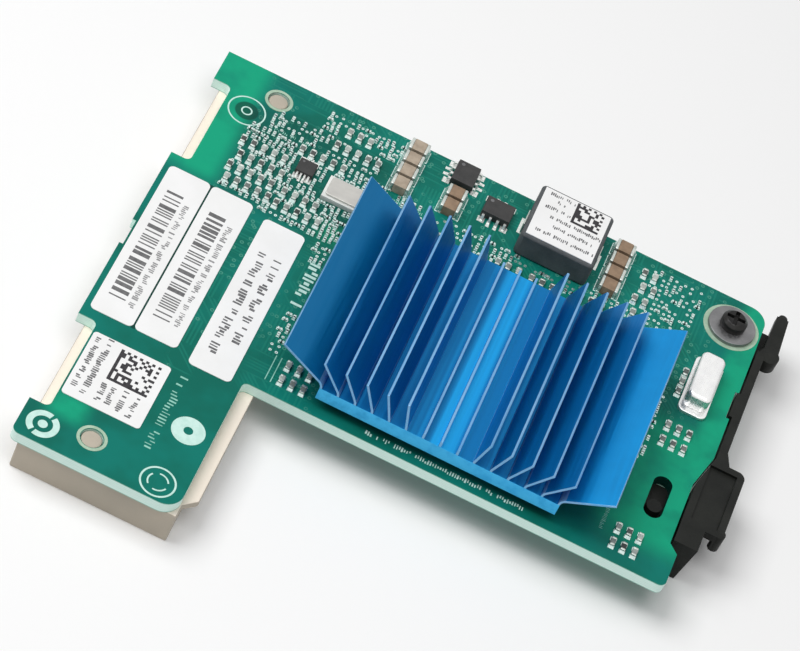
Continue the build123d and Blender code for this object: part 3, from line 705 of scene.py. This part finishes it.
finish("contact_gold", (0.80, 0.58, 0.24), (0.70, 0.49, 0.19), drift=600.0, roughness=(0.22, 0.36),
       grain=2600.0, depth=0.006 * mm, metallic=1.0)

# Inks

on_mask = {"drift": 900.0, "roughness": (0.55, 0.75), "grain": 6000.0, "depth": 0.01 * mm, "specular": 0.2,
           "speckle": 0.8}
finish("mark_ink", (0.66, 0.90, 0.83), (0.54, 0.80, 0.72), **on_mask)
finish("board_ink", (0.34, 0.68, 0.57), (0.22, 0.52, 0.43), **on_mask)
on_paper = {"drift": 1500.0, "roughness": (0.5, 0.7), "grain": 6000.0}
heavy = {"depth": 0.004 * mm, "specular": 0.3, "speckle": 0.8}
finish("label_ink", (0.016, 0.015, 0.018), (0.040, 0.038, 0.042), **on_paper, **heavy)
finish("bar_ink", (0.115, 0.115, 0.118), (0.180, 0.180, 0.183), **on_paper, **heavy)
finish("pale_ink", (0.11, 0.11, 0.115), (0.18, 0.18, 0.185), **on_paper, **heavy)
finish("fine_ink", (0.24, 0.24, 0.245), (0.34, 0.34, 0.345), depth=0.006 * mm, specular=0.25, **on_paper)


# Mesh helpers

def new_object(name, data):
    """An object in the scene that holds a mesh, a lamp or a camera."""
    holder = bpy.data.objects.new(name, data)
    bpy.context.scene.collection.objects.link(holder)
    return holder


def mesh_object(name, bm):
    """An object made of a bmesh, which is freed."""
    mesh = bpy.data.meshes.new(name)
    bm.to_mesh(mesh)
    bm.free()
    return new_object(name, mesh)


def new_piece(name, bm, material):
    """Makes a piece of a bmesh, rides it on the part and gives it a finish."""
    piece = mesh_object(name, bm)
    piece.data.materials.append(materials[material])
    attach(piece, "root")
    return piece


def add_block(bm, low, high):
    """A box between two corners."""
    low = Vector(low)
    high = Vector(high)
    place = Matrix.Translation((low + high) / 2) @ Matrix.Diagonal((*(high - low), 1.0))
    return bmesh.ops.create_cube(bm, size=1.0, matrix=place)["verts"]


def raised(centre, lift):
    """A point above another."""
    return centre + Vector((0.0, 0.0, lift))


def add_flat(bm, centre, length, width, height, turn=0.0):
    """A low block lying on its centre point, turned about the upright."""
    place = Matrix.Translation(raised(centre, height / 2)) @ Matrix.Rotation(turn, 4, "Z")
    place = place @ Matrix.Diagonal((length, width, height, 1.0))
    bmesh.ops.create_cube(bm, size=1.0, matrix=place)


def add_disc(bm, centre, radius, height, segments=28):
    """A low upright cylinder standing on its centre point."""
    place = Matrix.Translation(raised(centre, height / 2))
    bmesh.ops.create_cone(bm, cap_ends=True, segments=segments, radius1=radius, radius2=radius, depth=height,
                          matrix=place)


def ring_section(bm, centre, inner, outer, height, start=0.0):
    """The four corners of a flat ring's section, turned about the ring's centre point."""
    turn = Matrix.Rotation(start, 3, "Z")
    corners = ((inner, 0.0), (outer, 0.0), (outer, height), (inner, height))
    return [bm.verts.new(centre + turn @ Vector((radius, 0.0, lift))) for radius, lift in corners]


def add_ring(bm, centre, inner, outer, height, steps=40):
    """A flat ring standing on its centre point, spun from its section."""
    verts = ring_section(bm, centre, inner, outer, height)
    edges = [bm.edges.new((verts[i], verts[(i + 1) % 4])) for i in range(4)]
    bmesh.ops.spin(bm, geom=verts + edges, cent=centre, axis=upright, angle=2 * math.pi, steps=steps,
                   use_merge=True)


def add_arc(bm, centre, inner, outer, height, start, sweep, steps=18):
    """A stretch of a flat ring with closed ends, from a start and over a sweep in degrees."""
    section = bm.faces.new(ring_section(bm, centre, inner, outer, height, math.radians(start)))
    bmesh.ops.spin(bm, geom=[section], cent=centre, axis=upright, angle=math.radians(sweep), steps=steps)


def closed(bm):
    """Merges doubles and turns the faces outwards."""
    bmesh.ops.remove_doubles(bm, verts=bm.verts, dist=fine_merge)
    bmesh.ops.recalc_face_normals(bm, faces=bm.faces)
    return bm


def merged(node):
    """A bmesh of a node with its loose triangles joined at their corners."""
    bm = bmesh.new()
    bm.from_mesh(frame["nodes"][node].data)
    bmesh.ops.remove_doubles(bm, verts=bm.verts, dist=merge_distance)
    return bm


def mark_narrow_faces(bm):
    """Gives every narrow face a mark of one, so that a finish can paint a highlight on the edges and tips.
    """
    mark = bm.faces.layers.float.new("narrow")
    for face in bm.faces:
        longest = max(edge.calc_length() for edge in face.edges)
        face[mark] = 1.0 if face.calc_area() < narrow_face * longest else 0.0


def separate_solids(bm):
    """The vertices of each solid of a bmesh that no edge joins to the others."""
    left = {vert: None for vert in bm.verts}
    while left:
        found = [left.popitem()[0]]
        solid = list(found)
        while found:
            vert = found.pop()
            for edge in vert.link_edges:
                other = edge.other_vert(vert)
                if other in left:
                    del left[other]
                    found.append(other)
                    solid.append(other)
        yield solid


def mark_shades(bm):
    """Gives each separate solid a shade of its own by chance."""
    draw = random.Random(shade_seed)
    mark = bm.faces.layers.float.new("shade")
    for solid in separate_solids(bm):
        shade = draw.random()
        for vert in solid:
            for face in vert.link_faces:
                face[mark] = shade


def eased_copy(node, width, material):
    """A copy of a node in whole faces with its sharp edges eased, standing for it."""
    bm = merged(node)
    bmesh.ops.dissolve_limit(bm, angle_limit=level_angle, verts=bm.verts, edges=bm.edges)
    bmesh.ops.connect_verts_concave(bm, faces=bm.faces)
    edges = [edge for edge in bm.edges if edge.is_manifold and edge.calc_face_angle() > eased_angle]
    bmesh.ops.bevel(bm, geom=edges, offset=width, offset_type="OFFSET", segments=ease_segments, profile=0.5,
                    affect="EDGES", clamp_overlap=True, material=-1)
    mark_narrow_faces(bm)
    mark_shades(bm)
    many_sided = [face for face in bm.faces if len(face.verts) > 4]
    bmesh.ops.triangulate(bm, faces=many_sided)
    for face in bm.faces:
        face.smooth = True
    piece = new_piece(node + "_finished", bm, material)
    piece.data.set_sharp_from_angle(angle=sharp_angle)
    piece.modifiers.new("even_shading", "WEIGHTED_NORMAL").keep_sharp = True
    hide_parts(node)


def islands(node):
    """The lowest and highest corners of each separate solid of a node, from front to back and then from left
    to right, by places rounded to a hundredth of a millimetre."""
    bm = merged(node)
    boxes = []
    for solid in separate_solids(bm):
        low = Vector(min(vert.co[axis] for vert in solid) for axis in range(3))
        high = Vector(max(vert.co[axis] for vert in solid) for axis in range(3))
        boxes.append((low, high))
    bm.free()
    return sorted(boxes, key=lambda box: (round(box[0].y, place_digits), round(box[0].x, place_digits)))


# Finishes on the solids

slot_of = {entry["node"]: entry["material_slot"] for entry in frame["record"]["subparts"]}
power_banks = ("left_power", "middle_power", "right_power")
small_banks = ("signal", "supply", "clock", "underside")

# Width of the eased edges, in millimetres, of the solids that are finished as copies
edge_widths = {
    0.04: ["logic_chip"],
    0.05: ["regulator_chip", "turned_regulator_chip", "inductor_terminals"],
    0.06: ["connector_wafers", "heat_sink", "clip_screw", "oscillator_base"],
    0.08: ["clip_washer", "oscillator_lid", "controller_lid"],
    0.10: ["crystal_base"],
    0.12: ["power_inductor"],
    0.14: ["crystal_can"],
    0.20: ["retention_clip"],
    0.22: ["connector_housing"],
}
eased_edges = {name: width * mm for width, names in edge_widths.items() for name in names}
for banks, body_edge, end_edge in ((power_banks, 0.10 * mm, 0.14 * mm), (small_banks, 0.04 * mm, 0.07 * mm)):
    for bank in banks:
        eased_edges[bank + "_capacitors"] = body_edge
        eased_edges[bank + "_capacitor_ends"] = end_edge

# Leads are brighter than the other tinned metal, the oscillator's lid is duller than the crystal's can,
# and the left power capacitors get a paler tan than the others, which is painted light
own_finish = {
    "regulator_leads": "bright_tin",
    "turned_regulator_leads": "bright_tin",
    "logic_leads": "bright_tin",
    "oscillator_lid": "lid_metal",
    "left_power_capacitors": "painted_light_tan",
}

for node, solid in frame["nodes"].items():
    surface = own_finish.get(node, slot_of[node])
    if node in eased_edges:
        eased_copy(node, eased_edges[node], surface)
    else:
        solid.data.materials.clear()
        solid.data.materials.append(materials[surface])


# Solder

pad_spread = 0.10 * mm
power_fillet = 0.40 * mm
small_fillet = 0.25 * mm
fillet_rise = 0.55
fillet_tip = 0.2
lead_spread = 0.08 * mm
lead_reach = 0.45 * mm
lead_foot = 0.75 * mm
leads_of = {
    "regulator_chip": "regulator_leads",
    "turned_regulator_chip": "turned_regulator_leads",
    "logic_chip": "logic_leads",
    "power_inductor": "inductor_terminals",
}


def fillet_beside(bm, low, high, away, reach, rise, base, facing):
    """A pad under one metal end and a wedge of solder that runs up the end's outer face."""
    axis = 0 if abs(away.x) > abs(away.y) else 1
    pad_low = Vector((low.x - pad_spread, low.y - pad_spread, 0.0))
    pad_high = Vector((high.x + pad_spread, high.y + pad_spread, 0.0))
    wedge_low = low.copy()
    wedge_high = high.copy()
    if away[axis] > 0:
        far = high[axis] + reach
        pad_high[axis] += reach
        wedge_low[axis] = high[axis]
        wedge_high[axis] = far
    else:
        far = low[axis] - reach
        pad_low[axis] -= reach
        wedge_low[axis] = far
        wedge_high[axis] = low[axis]
    pad_low.z, pad_high.z = sorted((base, base + facing * pad_height))
    add_block(bm, pad_low, pad_high)
    wedge_low.z, wedge_high.z = sorted((base, base + facing * rise))
    for vert in add_block(bm, wedge_low, wedge_high):
        if abs(vert.co[axis] - far) < merge_distance:
            vert.co.z = base + (vert.co.z - base) * fillet_tip


def capacitor_solder():
    """Pads and fillets at both ends of every chip capacitor."""
    bm = bmesh.new()
    for bank in power_banks + small_banks:
        reach = power_fillet if bank in power_banks else small_fillet
        base, facing = (board_bottom, -1.0) if bank == "underside" else (board_top, 1.0)
        bodies = [(low + high) / 2 for low, high in islands(bank + "_capacitors")]
        for low, high in islands(bank + "_capacitor_ends"):
            middle = (low + high) / 2
            body = min(bodies, key=lambda place: (place - middle).length)
            rise = (high.z - low.z) * fillet_rise
            fillet_beside(bm, low, high, middle - body, reach, rise, base, facing)
    new_piece("capacitor_solder", bm, "solder")


def lead_solder():
    """Pads under the chips' leads and the inductor's terminals."""
    bm = bmesh.new()
    spread = Vector((lead_spread, lead_spread, 0.0))
    for chip, leads in leads_of.items():
        low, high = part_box(chip)
        chip_middle = (low + high) / 2
        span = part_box(leads)[1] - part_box(leads)[0]
        for low, high in islands(leads):
            away = (low + high) / 2 - chip_middle
            axis = 0 if abs(away.x) / span.x > abs(away.y) / span.y else 1
            pad_low = Vector((low.x, low.y, board_top)) - spread
            pad_high = Vector((high.x, high.y, board_top + pad_height)) + spread
            if away[axis] > 0:
                pad_high[axis] = high[axis] + lead_reach
                pad_low[axis] = high[axis] - lead_foot
            else:
                pad_low[axis] = low[axis] - lead_reach
                pad_high[axis] = low[axis] + lead_foot
            add_block(bm, pad_low, pad_high)
    new_piece("lead_solder", bm, "bright_tin")


capacitor_solder()
lead_solder()


# Bare metal rings on the board

peg_places = ((10.9, 5.25), (10.9, 85.75))
peg_ring_inner = 1.85 * mm
peg_ring_outer = 2.35 * mm
washer_ring_under = 0.3 * mm
washer_ring_beyond = 0.75 * mm


def bare_rings():
    """Tinned rings round the screw's washer and round the connector's locating pegs."""
    bm = bmesh.new()
    low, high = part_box("clip_washer")
    screw_place = Vector(((low.x + high.x) / 2, (low.y + high.y) / 2, board_top))
    radius = (high.x - low.x) / 2
    add_ring(bm, screw_place, radius - washer_ring_under, radius + washer_ring_beyond, pad_height)
    for x, y in peg_places:
        add_ring(bm, on_board(x, y), peg_ring_inner, peg_ring_outer, pad_height)
    new_piece("bare_rings", closed(bm), "dull_tin")


bare_rings()


# Small parts in the crowded fields

# Left, right, front and back edge of each field from the board's front left corner, in millimetres,
# and the share of its places that carry a part
crowded_fields = [
    (8.6, 33.5, 61.8, 79.4, 0.92),
    (11.2, 31.0, 79.4, 84.4, 0.55),
    (19.0, 34.0, 84.4, 90.0, 0.30),
    (34.5, 76.5, 71.4, 79.2, 0.35),
    (26.5, 31.8, 56.5, 61.8, 0.60),
    (76.8, 86.0, 72.0, 90.0, 0.15),
    (84.5, 95.0, 56.5, 64.5, 0.60),
    (84.0, 92.0, 49.5, 56.5, 0.40),
    (27.5, 31.5, 36.0, 46.5, 0.60),
]
field_seed = 7
place_pitch_x = 0.92
place_pitch_y = 1.14
place_shake = 0.16
turned_share = 0.3
resistor_share = 0.6
hole_share = 0.6
part_length = 0.78 * mm
part_width = 0.40 * mm
part_height = 0.32 * mm
part_lift = 0.02 * mm
part_room = 0.44 * mm
cap_length = 0.26 * mm
cap_width = part_width * 1.06
cap_height = part_height * 1.12
end_pad_length = 0.32 * mm
end_pad_width = part_width * 1.3
end_pad_shift = 0.08 * mm
via_outer = 0.26 * mm
via_inner = 0.10 * mm
via_steps = 10
peg_room = 2.7 * mm
under_board = ("circuit_board", "connector_housing", "connector_wafers")


def standing_boxes():
    """The plan boxes of all that stands on the board's top."""
    boxes = []
    for node in frame["nodes"]:
        if node not in under_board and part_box(node)[1].z > board_top + merge_distance:
            boxes += islands(node)
    return boxes


def field_places(draw, boxes):
    """Free places in the crowded fields, each with the share of parts there."""
    pegs = [on_board(x, y) for x, y in peg_places]
    for left, right, front, back, share in crowded_fields:
        for column in range(int((right - left) / place_pitch_x)):
            for row in range(int((back - front) / place_pitch_y)):
                x = left + (column + 0.5) * place_pitch_x + draw.uniform(-place_shake, place_shake)
                y = front + (row + 0.5) * place_pitch_y + draw.uniform(-place_shake, place_shake)
                spot = on_board(x, y)
                taken = any(low.x - part_room < spot.x < high.x + part_room
                            and low.y - part_room < spot.y < high.y + part_room for low, high in boxes)
                if not taken and all((spot - peg).length > peg_room for peg in pegs):
                    yield spot, share


def add_small_part(body, ends, spot, turned):
    """A chip part: a low body with a tinned cap and a pad at each end."""
    angle = quarter_turn if turned else 0.0
    along = Matrix.Rotation(angle, 3, "Z") @ Vector((0.0, 1.0, 0.0))
    add_flat(body, raised(spot, part_lift), part_width, part_length - 2 * cap_length, part_height, angle)
    for facing in (-1, 1):
        tip = spot + along * facing * (part_length - cap_length) / 2
        add_flat(ends, tip, cap_width, cap_length, cap_height, angle)
        pad = tip + along * facing * end_pad_shift
        add_flat(ends, pad, end_pad_width, end_pad_length, pad_height, angle)


def crowded_parts():
    """Fills the fields with chip resistors and capacitors, and with plated holes between them."""
    draw = random.Random(field_seed)
    resistors = bmesh.new()
    capacitors = bmesh.new()
    ends = bmesh.new()
    holes = bmesh.new()
    for spot, share in field_places(draw, standing_boxes()):
        if draw.random() < share:
            body = resistors if draw.random() < resistor_share else capacitors
            add_small_part(body, ends, spot, draw.random() < turned_share)
        elif draw.random() < hole_share:
            add_ring(holes, spot, via_inner, via_outer, pad_height, steps=via_steps)
    new_piece("small_resistors", resistors, "resistor_black")
    new_piece("small_capacitors", capacitors, "grey_ceramic")
    new_piece("small_part_ends", ends, "solder")
    new_piece("plated_holes", closed(holes), "solder")


crowded_parts()


# Unreadable print

# The chance of a gap between ticks, the width of a gap, the least height of a tick, the pitch of the ticks
# and their least and most width, as shares of the print's size, and the height of its layer
board_type = {"gap_chance": 0.14, "gap": 0.7, "least": 0.45, "pitch": 0.46, "stroke": (0.10, 0.24),
              "layer": print_height}
wide_type = {**board_type, "stroke": (0.16, 0.32)}
heavy_type = {**board_type, "stroke": (0.22, 0.40)}
label_type = {"gap_chance": 0.16, "gap": 0.6, "least": 0.5, "pitch": 0.40, "stroke": (0.16, 0.34),
              "layer": ink_height}


def tick_line(bm, start, length, size, turn, seed, kind):
    """A line of small unreadable ticks, standing for fine print. Length and size are in millimetres."""
    draw = random.Random(seed)
    across = Matrix.Rotation(turn, 3, "Z")
    size *= mm
    place = 0.0
    while place < length * mm:
        if draw.random() < kind["gap_chance"]:
            place += size * kind["gap"]
        tall = size * draw.uniform(kind["least"], 1.0)
        lift = (size - tall) * draw.choice((0.0, 0.5, 1.0)) + tall / 2 - size / 2
        centre = start + across @ Vector((place, lift, 0.0))
        add_flat(bm, centre, size * draw.uniform(*kind["stroke"]), tall, kind["layer"], turn)
        place += size * kind["pitch"]


# Print on the board

# Place from the board's front left corner, length and size of each line in millimetres, its turn, seed and
# type
small_lines = [
    (18.6, 8.4, 15.0, 1.4, quarter_turn, 3, board_type),
    (12.5, 79.6, 6.5, 0.7, 0.0, 11, board_type),
    (77.6, 74.6, 7.0, 0.7, 0.0, 13, board_type),
    (33.0, 76.8, 8.0, 0.7, 0.0, 15, board_type),
    (84.6, 33.4, 5.0, 0.7, quarter_turn, 17, board_type),
]
bold_lines = [
    (28.3, 47.2, 10.0, 1.9, quarter_turn, 8, heavy_type),
    (46.5, 29.9, 26.5, 0.9, 0.0, 5, wide_type),
]
rule_places = ((29.3, 33.2), (30.2, 33.2))
rule_width = 0.16 * mm
rule_length = 5.4 * mm

# Round marks: their places from the board's front left corner and their radii in millimetres, and where
# broken rings start and how far each piece sweeps, in degrees
corner_place = (3.6, 3.6)
corner_ring = (1.55, 2.55)
corner_starts = (70.0, 250.0)
corner_sweep = 166.0
corner_disc = 0.75
wide_place = (22.8, 14.65)
wide_ring = (0.75, 2.65)
target_place = (22.35, 3.3)
target_ring = (2.55, 2.85)
target_arcs = (1.45, 1.70)
target_starts = (20.0, 140.0, 260.0)
target_sweep = 80.0
ear_rings = ((2.95, 3.20), (0.70, 0.95))


def mark_arcs(bm, place, radii, starts, sweep):
    """A broken ring on the board."""
    inner, outer = radii
    for start in starts:
        add_arc(bm, on_board(*place), inner * mm, outer * mm, print_height, start, sweep)


def mark_ring(bm, place, radii):
    """A whole ring on the board."""
    inner, outer = radii
    add_ring(bm, on_board(*place), inner * mm, outer * mm, print_height)


def board_marks():
    """Four plain round marks: a disc in a broken ring, a wide ring, broken arcs in a ring and a ring in a
    ring."""
    bm = bmesh.new()
    mark_arcs(bm, corner_place, corner_ring, corner_starts, corner_sweep)
    add_disc(bm, on_board(*corner_place), corner_disc * mm, print_height)
    mark_ring(bm, wide_place, wide_ring)
    mark_ring(bm, target_place, target_ring)
    mark_arcs(bm, target_place, target_arcs, target_starts, target_sweep)
    for radii in ear_rings:
        mark_ring(bm, ear_mark, radii)
    new_piece("board_marks", closed(bm), "mark_ink")


def printed(lines):
    """A mesh of several lines of print on the board."""
    bm = bmesh.new()
    for x, y, *line in lines:
        tick_line(bm, on_board(x, y), *line)
    return bm


def board_print():
    """Fine print and two rules on the board, and two lines in bolder print."""
    small = printed(small_lines)
    for x, y in rule_places:
        add_flat(small, on_board(x, y), rule_width, rule_length, print_height)
    new_piece("board_print", closed(small), "board_ink")
    new_piece("bold_print", closed(printed(bold_lines)), "mark_ink")


board_marks()
board_print()


# Print on the labels

bar_unit = 0.27 * mm
bar_units = (1, 1, 2, 3)
bars_low = (1.5, 4.2)
bars_high = (4.3, 29.0)
dark_share = 0.48

# Place from the label's front left corner, length and size of each line in millimetres, and its seed
right_lines = [
    (2.4, 4.2, 23.0, 1.5, 41),
    (4.9, 7.0, 19.0, 1.5, 43),
]
code_lines = [
    (1.2, 2.2, 10.4, 1.0, 12),
    (2.9, 1.6, 11.2, 1.1, 29),
    (5.2, 1.6, 3.8, 1.0, 52),
    (6.8, 1.8, 3.6, 1.0, 68),
    (8.6, 1.4, 4.0, 1.0, 86),
    (10.4, 1.2, 4.2, 1.0, 104),
]
inductor_lines = [
    (1.2, 10.6, 4.2, 0.8, 106),
    (2.8, 9.3, 1.4, 0.8, 93),
    (1.2, 7.5, 4.4, 0.8, 75),
    (2.6, 5.6, 8.8, 0.8, 56),
    (3.6, 3.8, 6.6, 0.8, 38),
    (1.2, 1.8, 10.2, 0.8, 18),
]


def label_point(node, x, y):
    """A point on a label's top from millimetres along and back from its front left corner."""
    low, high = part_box(node)
    return Vector((low.x + x * mm, low.y + y * mm, high.z))


def bar_code(node, seed):
    """Bars across a strip of a label, of one to three units, stacked along it by chance."""
    bm = bmesh.new()
    draw = random.Random(seed)
    low = label_point(node, *bars_low)
    high = label_point(node, *bars_high)
    place = low.y
    while place < high.y:
        bar = bar_unit * draw.choice(bar_units)
        add_block(bm, (low.x, place, low.z), (high.x, min(place + bar, high.y), low.z + ink_height))
        place += bar + bar_unit * draw.choice(bar_units)
    new_piece(node + "_bars", bm, "bar_ink")


def square_code(node, x, y, cells, size, seed):
    """A square of dark and blank cells with two solid sides, filled by a draw of chances."""
    bm = bmesh.new()
    draw = random.Random(seed)
    cell = size * mm / cells
    low = label_point(node, x, y)
    for row in range(cells):
        for column in range(cells):
            solid = row == 0 or column == 0
            dashed = (row == cells - 1 and column % 2 == 0) or (column == cells - 1 and row % 2 == 0)
            chance = draw.random() < dark_share and row < cells - 1 and column < cells - 1
            if solid or dashed or chance:
                corner = low + Vector((column * cell, row * cell, 0.0))
                add_block(bm, corner, corner + Vector((cell, cell, ink_height)))
    new_piece(node + "_square", bm, "label_ink")


def label_print(node, ink, lines, turn):
    """Lines of fine print on a label."""
    bm = bmesh.new()
    for x, y, length, size, seed in lines:
        tick_line(bm, label_point(node, x, y), length, size, turn, seed, label_type)
    new_piece(node + "_ticks", bm, ink)


for label, bars_seed in (("left_label", 21), ("middle_label", 31)):
    bar_code(label, bars_seed)
    label_print(label, "fine_ink", [(5.4, 3.6, 24.0, 1.0, bars_seed + 1)], quarter_turn)
label_print("right_label", "pale_ink", right_lines, quarter_turn)
square_code("code_label", 4.9, 6.1, cells=13, size=6.6, seed=51)
label_print("code_label", "pale_ink", code_lines, quarter_turn)
square_code("inductor_label", 5.7, 6.5, cells=10, size=4.8, seed=61)
label_print("inductor_label", "pale_ink", inductor_lines, 0.0)


# Connector contacts

contacts_a_side = 13
contact_width = 0.45 * mm
contact_thickness = 0.04 * mm
contact_foot = 0.5 * mm
contact_tip = 0.1 * mm


def wafer_contacts():
    """Gold contacts up both sides of every wafer."""
    bm = bmesh.new()
    for low, high in islands("connector_wafers"):
        pitch = (high.x - low.x) / contacts_a_side
        for index in range(contacts_a_side):
            x = low.x + (index + 0.5) * pitch
            for face, side in ((low.y, -1.0), (high.y, 1.0)):
                front, back = sorted((face, face + side * contact_thickness))
                add_block(bm, (x - contact_width / 2, front, low.z + contact_foot),
                          (x + contact_width / 2, back, high.z - contact_tip))
    new_piece("wafer_contacts", bm, "contact_gold")


wafer_contacts()


# Pin marks

# Radius of the mark on each chip and how far it lies in from the corner
pin_marks = {
    "regulator_chip": (0.32 * mm, 0.9 * mm),
    "turned_regulator_chip": (0.32 * mm, 0.9 * mm),
    "logic_chip": (0.22 * mm, 0.65 * mm),
}


def pin_dots():
    """A small round mark at the first pin of each chip."""
    bm = bmesh.new()
    for node, (radius, inset) in pin_marks.items():
        low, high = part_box(node)
        add_disc(bm, Vector((low.x + inset, high.y - inset, high.z)), radius, ink_height, segments=18)
    new_piece("pin_dots", bm, "pale_ink")


pin_dots()


# Stage, light and camera

def light_mask(nodes):
    """One where a ray comes from the camera, a reflection or a refraction."""
    path = nodes.add("ShaderNodeLightPath").outputs
    seen = nodes.math("MAXIMUM", path["Is Camera Ray"], path["Is Glossy Ray"])
    return nodes.math("MAXIMUM", seen, path["Is Transmission Ray"])


def floor_finish():
    """A pale floor that is white to the camera, keeps a soft shadow, lifts the underside a little and is
    clear from below."""
    material = bpy.data.materials.new("pale_floor")
    nodes = emptied(material)
    output = nodes.add("ShaderNodeOutputMaterial")
    matte = nodes.feed_named(nodes.add("ShaderNodeBsdfDiffuse"), Color=(floor_tone, floor_tone, floor_tone))
    glow = nodes.feed_named(nodes.add("ShaderNodeEmission"), Color=white, Strength=1.0)
    share = nodes.ramp(light_mask(nodes), 0.0, 1.0, floor_lift, floor_glow)
    lit = nodes.filled(nodes.add("ShaderNodeMixShader"), share, matte[0], glow[0])
    clear = nodes.add("ShaderNodeBsdfTransparent").outputs[0]
    behind = nodes.add("ShaderNodeNewGeometry").outputs["Backfacing"]
    sided = nodes.filled(nodes.add("ShaderNodeMixShader"), behind, lit, clear)
    nodes.feed(output.inputs["Surface"], sided)
    return material


def make_stage():
    """The floor plane just under the part."""
    bm = bmesh.new()
    place = Matrix.Translation((0.0, 0.0, cad_low.z - floor_drop))
    bmesh.ops.create_grid(bm, x_segments=1, y_segments=1, size=floor_reach, matrix=place)
    floor = mesh_object("floor", bm)
    floor.data.materials.append(floor_finish())


def make_world():
    """An even pale sky that is white to the camera."""
    world = bpy.data.worlds.new("pale_room")
    bpy.context.scene.world = world
    nodes = emptied(world)
    output = nodes.add("ShaderNodeOutputWorld")
    strength = nodes.ramp(light_mask(nodes), 0.0, 1.0, sky_strength, 1.0)
    sky = nodes.feed_named(nodes.add("ShaderNodeBackground"), Color=white, Strength=strength)
    nodes.feed(output.inputs["Surface"], sky[0])


def make_lamp(name, place, size, power):
    """A square soft lamp that points at the part."""
    lamp = bpy.data.lights.new(name, "AREA")
    lamp.shape = "SQUARE"
    lamp.size = size
    lamp.energy = power
    holder = new_object(name, lamp)
    holder.location = place
    holder.rotation_mode = "QUATERNION"
    holder.rotation_quaternion = (-place).to_track_quat("-Z", "Y")


def make_camera():
    """The picture's own viewpoint, rolled as the picture is."""
    lens = bpy.data.cameras.new("camera")
    lens.sensor_width = camera_sensor
    lens.lens = camera_lens
    lens.clip_start = camera_near
    lens.clip_end = camera_far
    camera = new_object("camera", lens)
    camera.location = on_board(0.0, 0.0) + camera_from_corner
    camera.rotation_mode = "QUATERNION"
    level = camera_forward.to_track_quat("-Z", "Y")
    camera.rotation_quaternion = level @ Quaternion(upright, camera_roll)
    bpy.context.scene.camera = camera


make_stage()
make_world()
make_lamp("key", key_place, key_size, key_power)
make_lamp("fill", fill_place, fill_size, fill_power)
make_camera()
bpy.context.scene.view_settings.view_transform = "Standard"
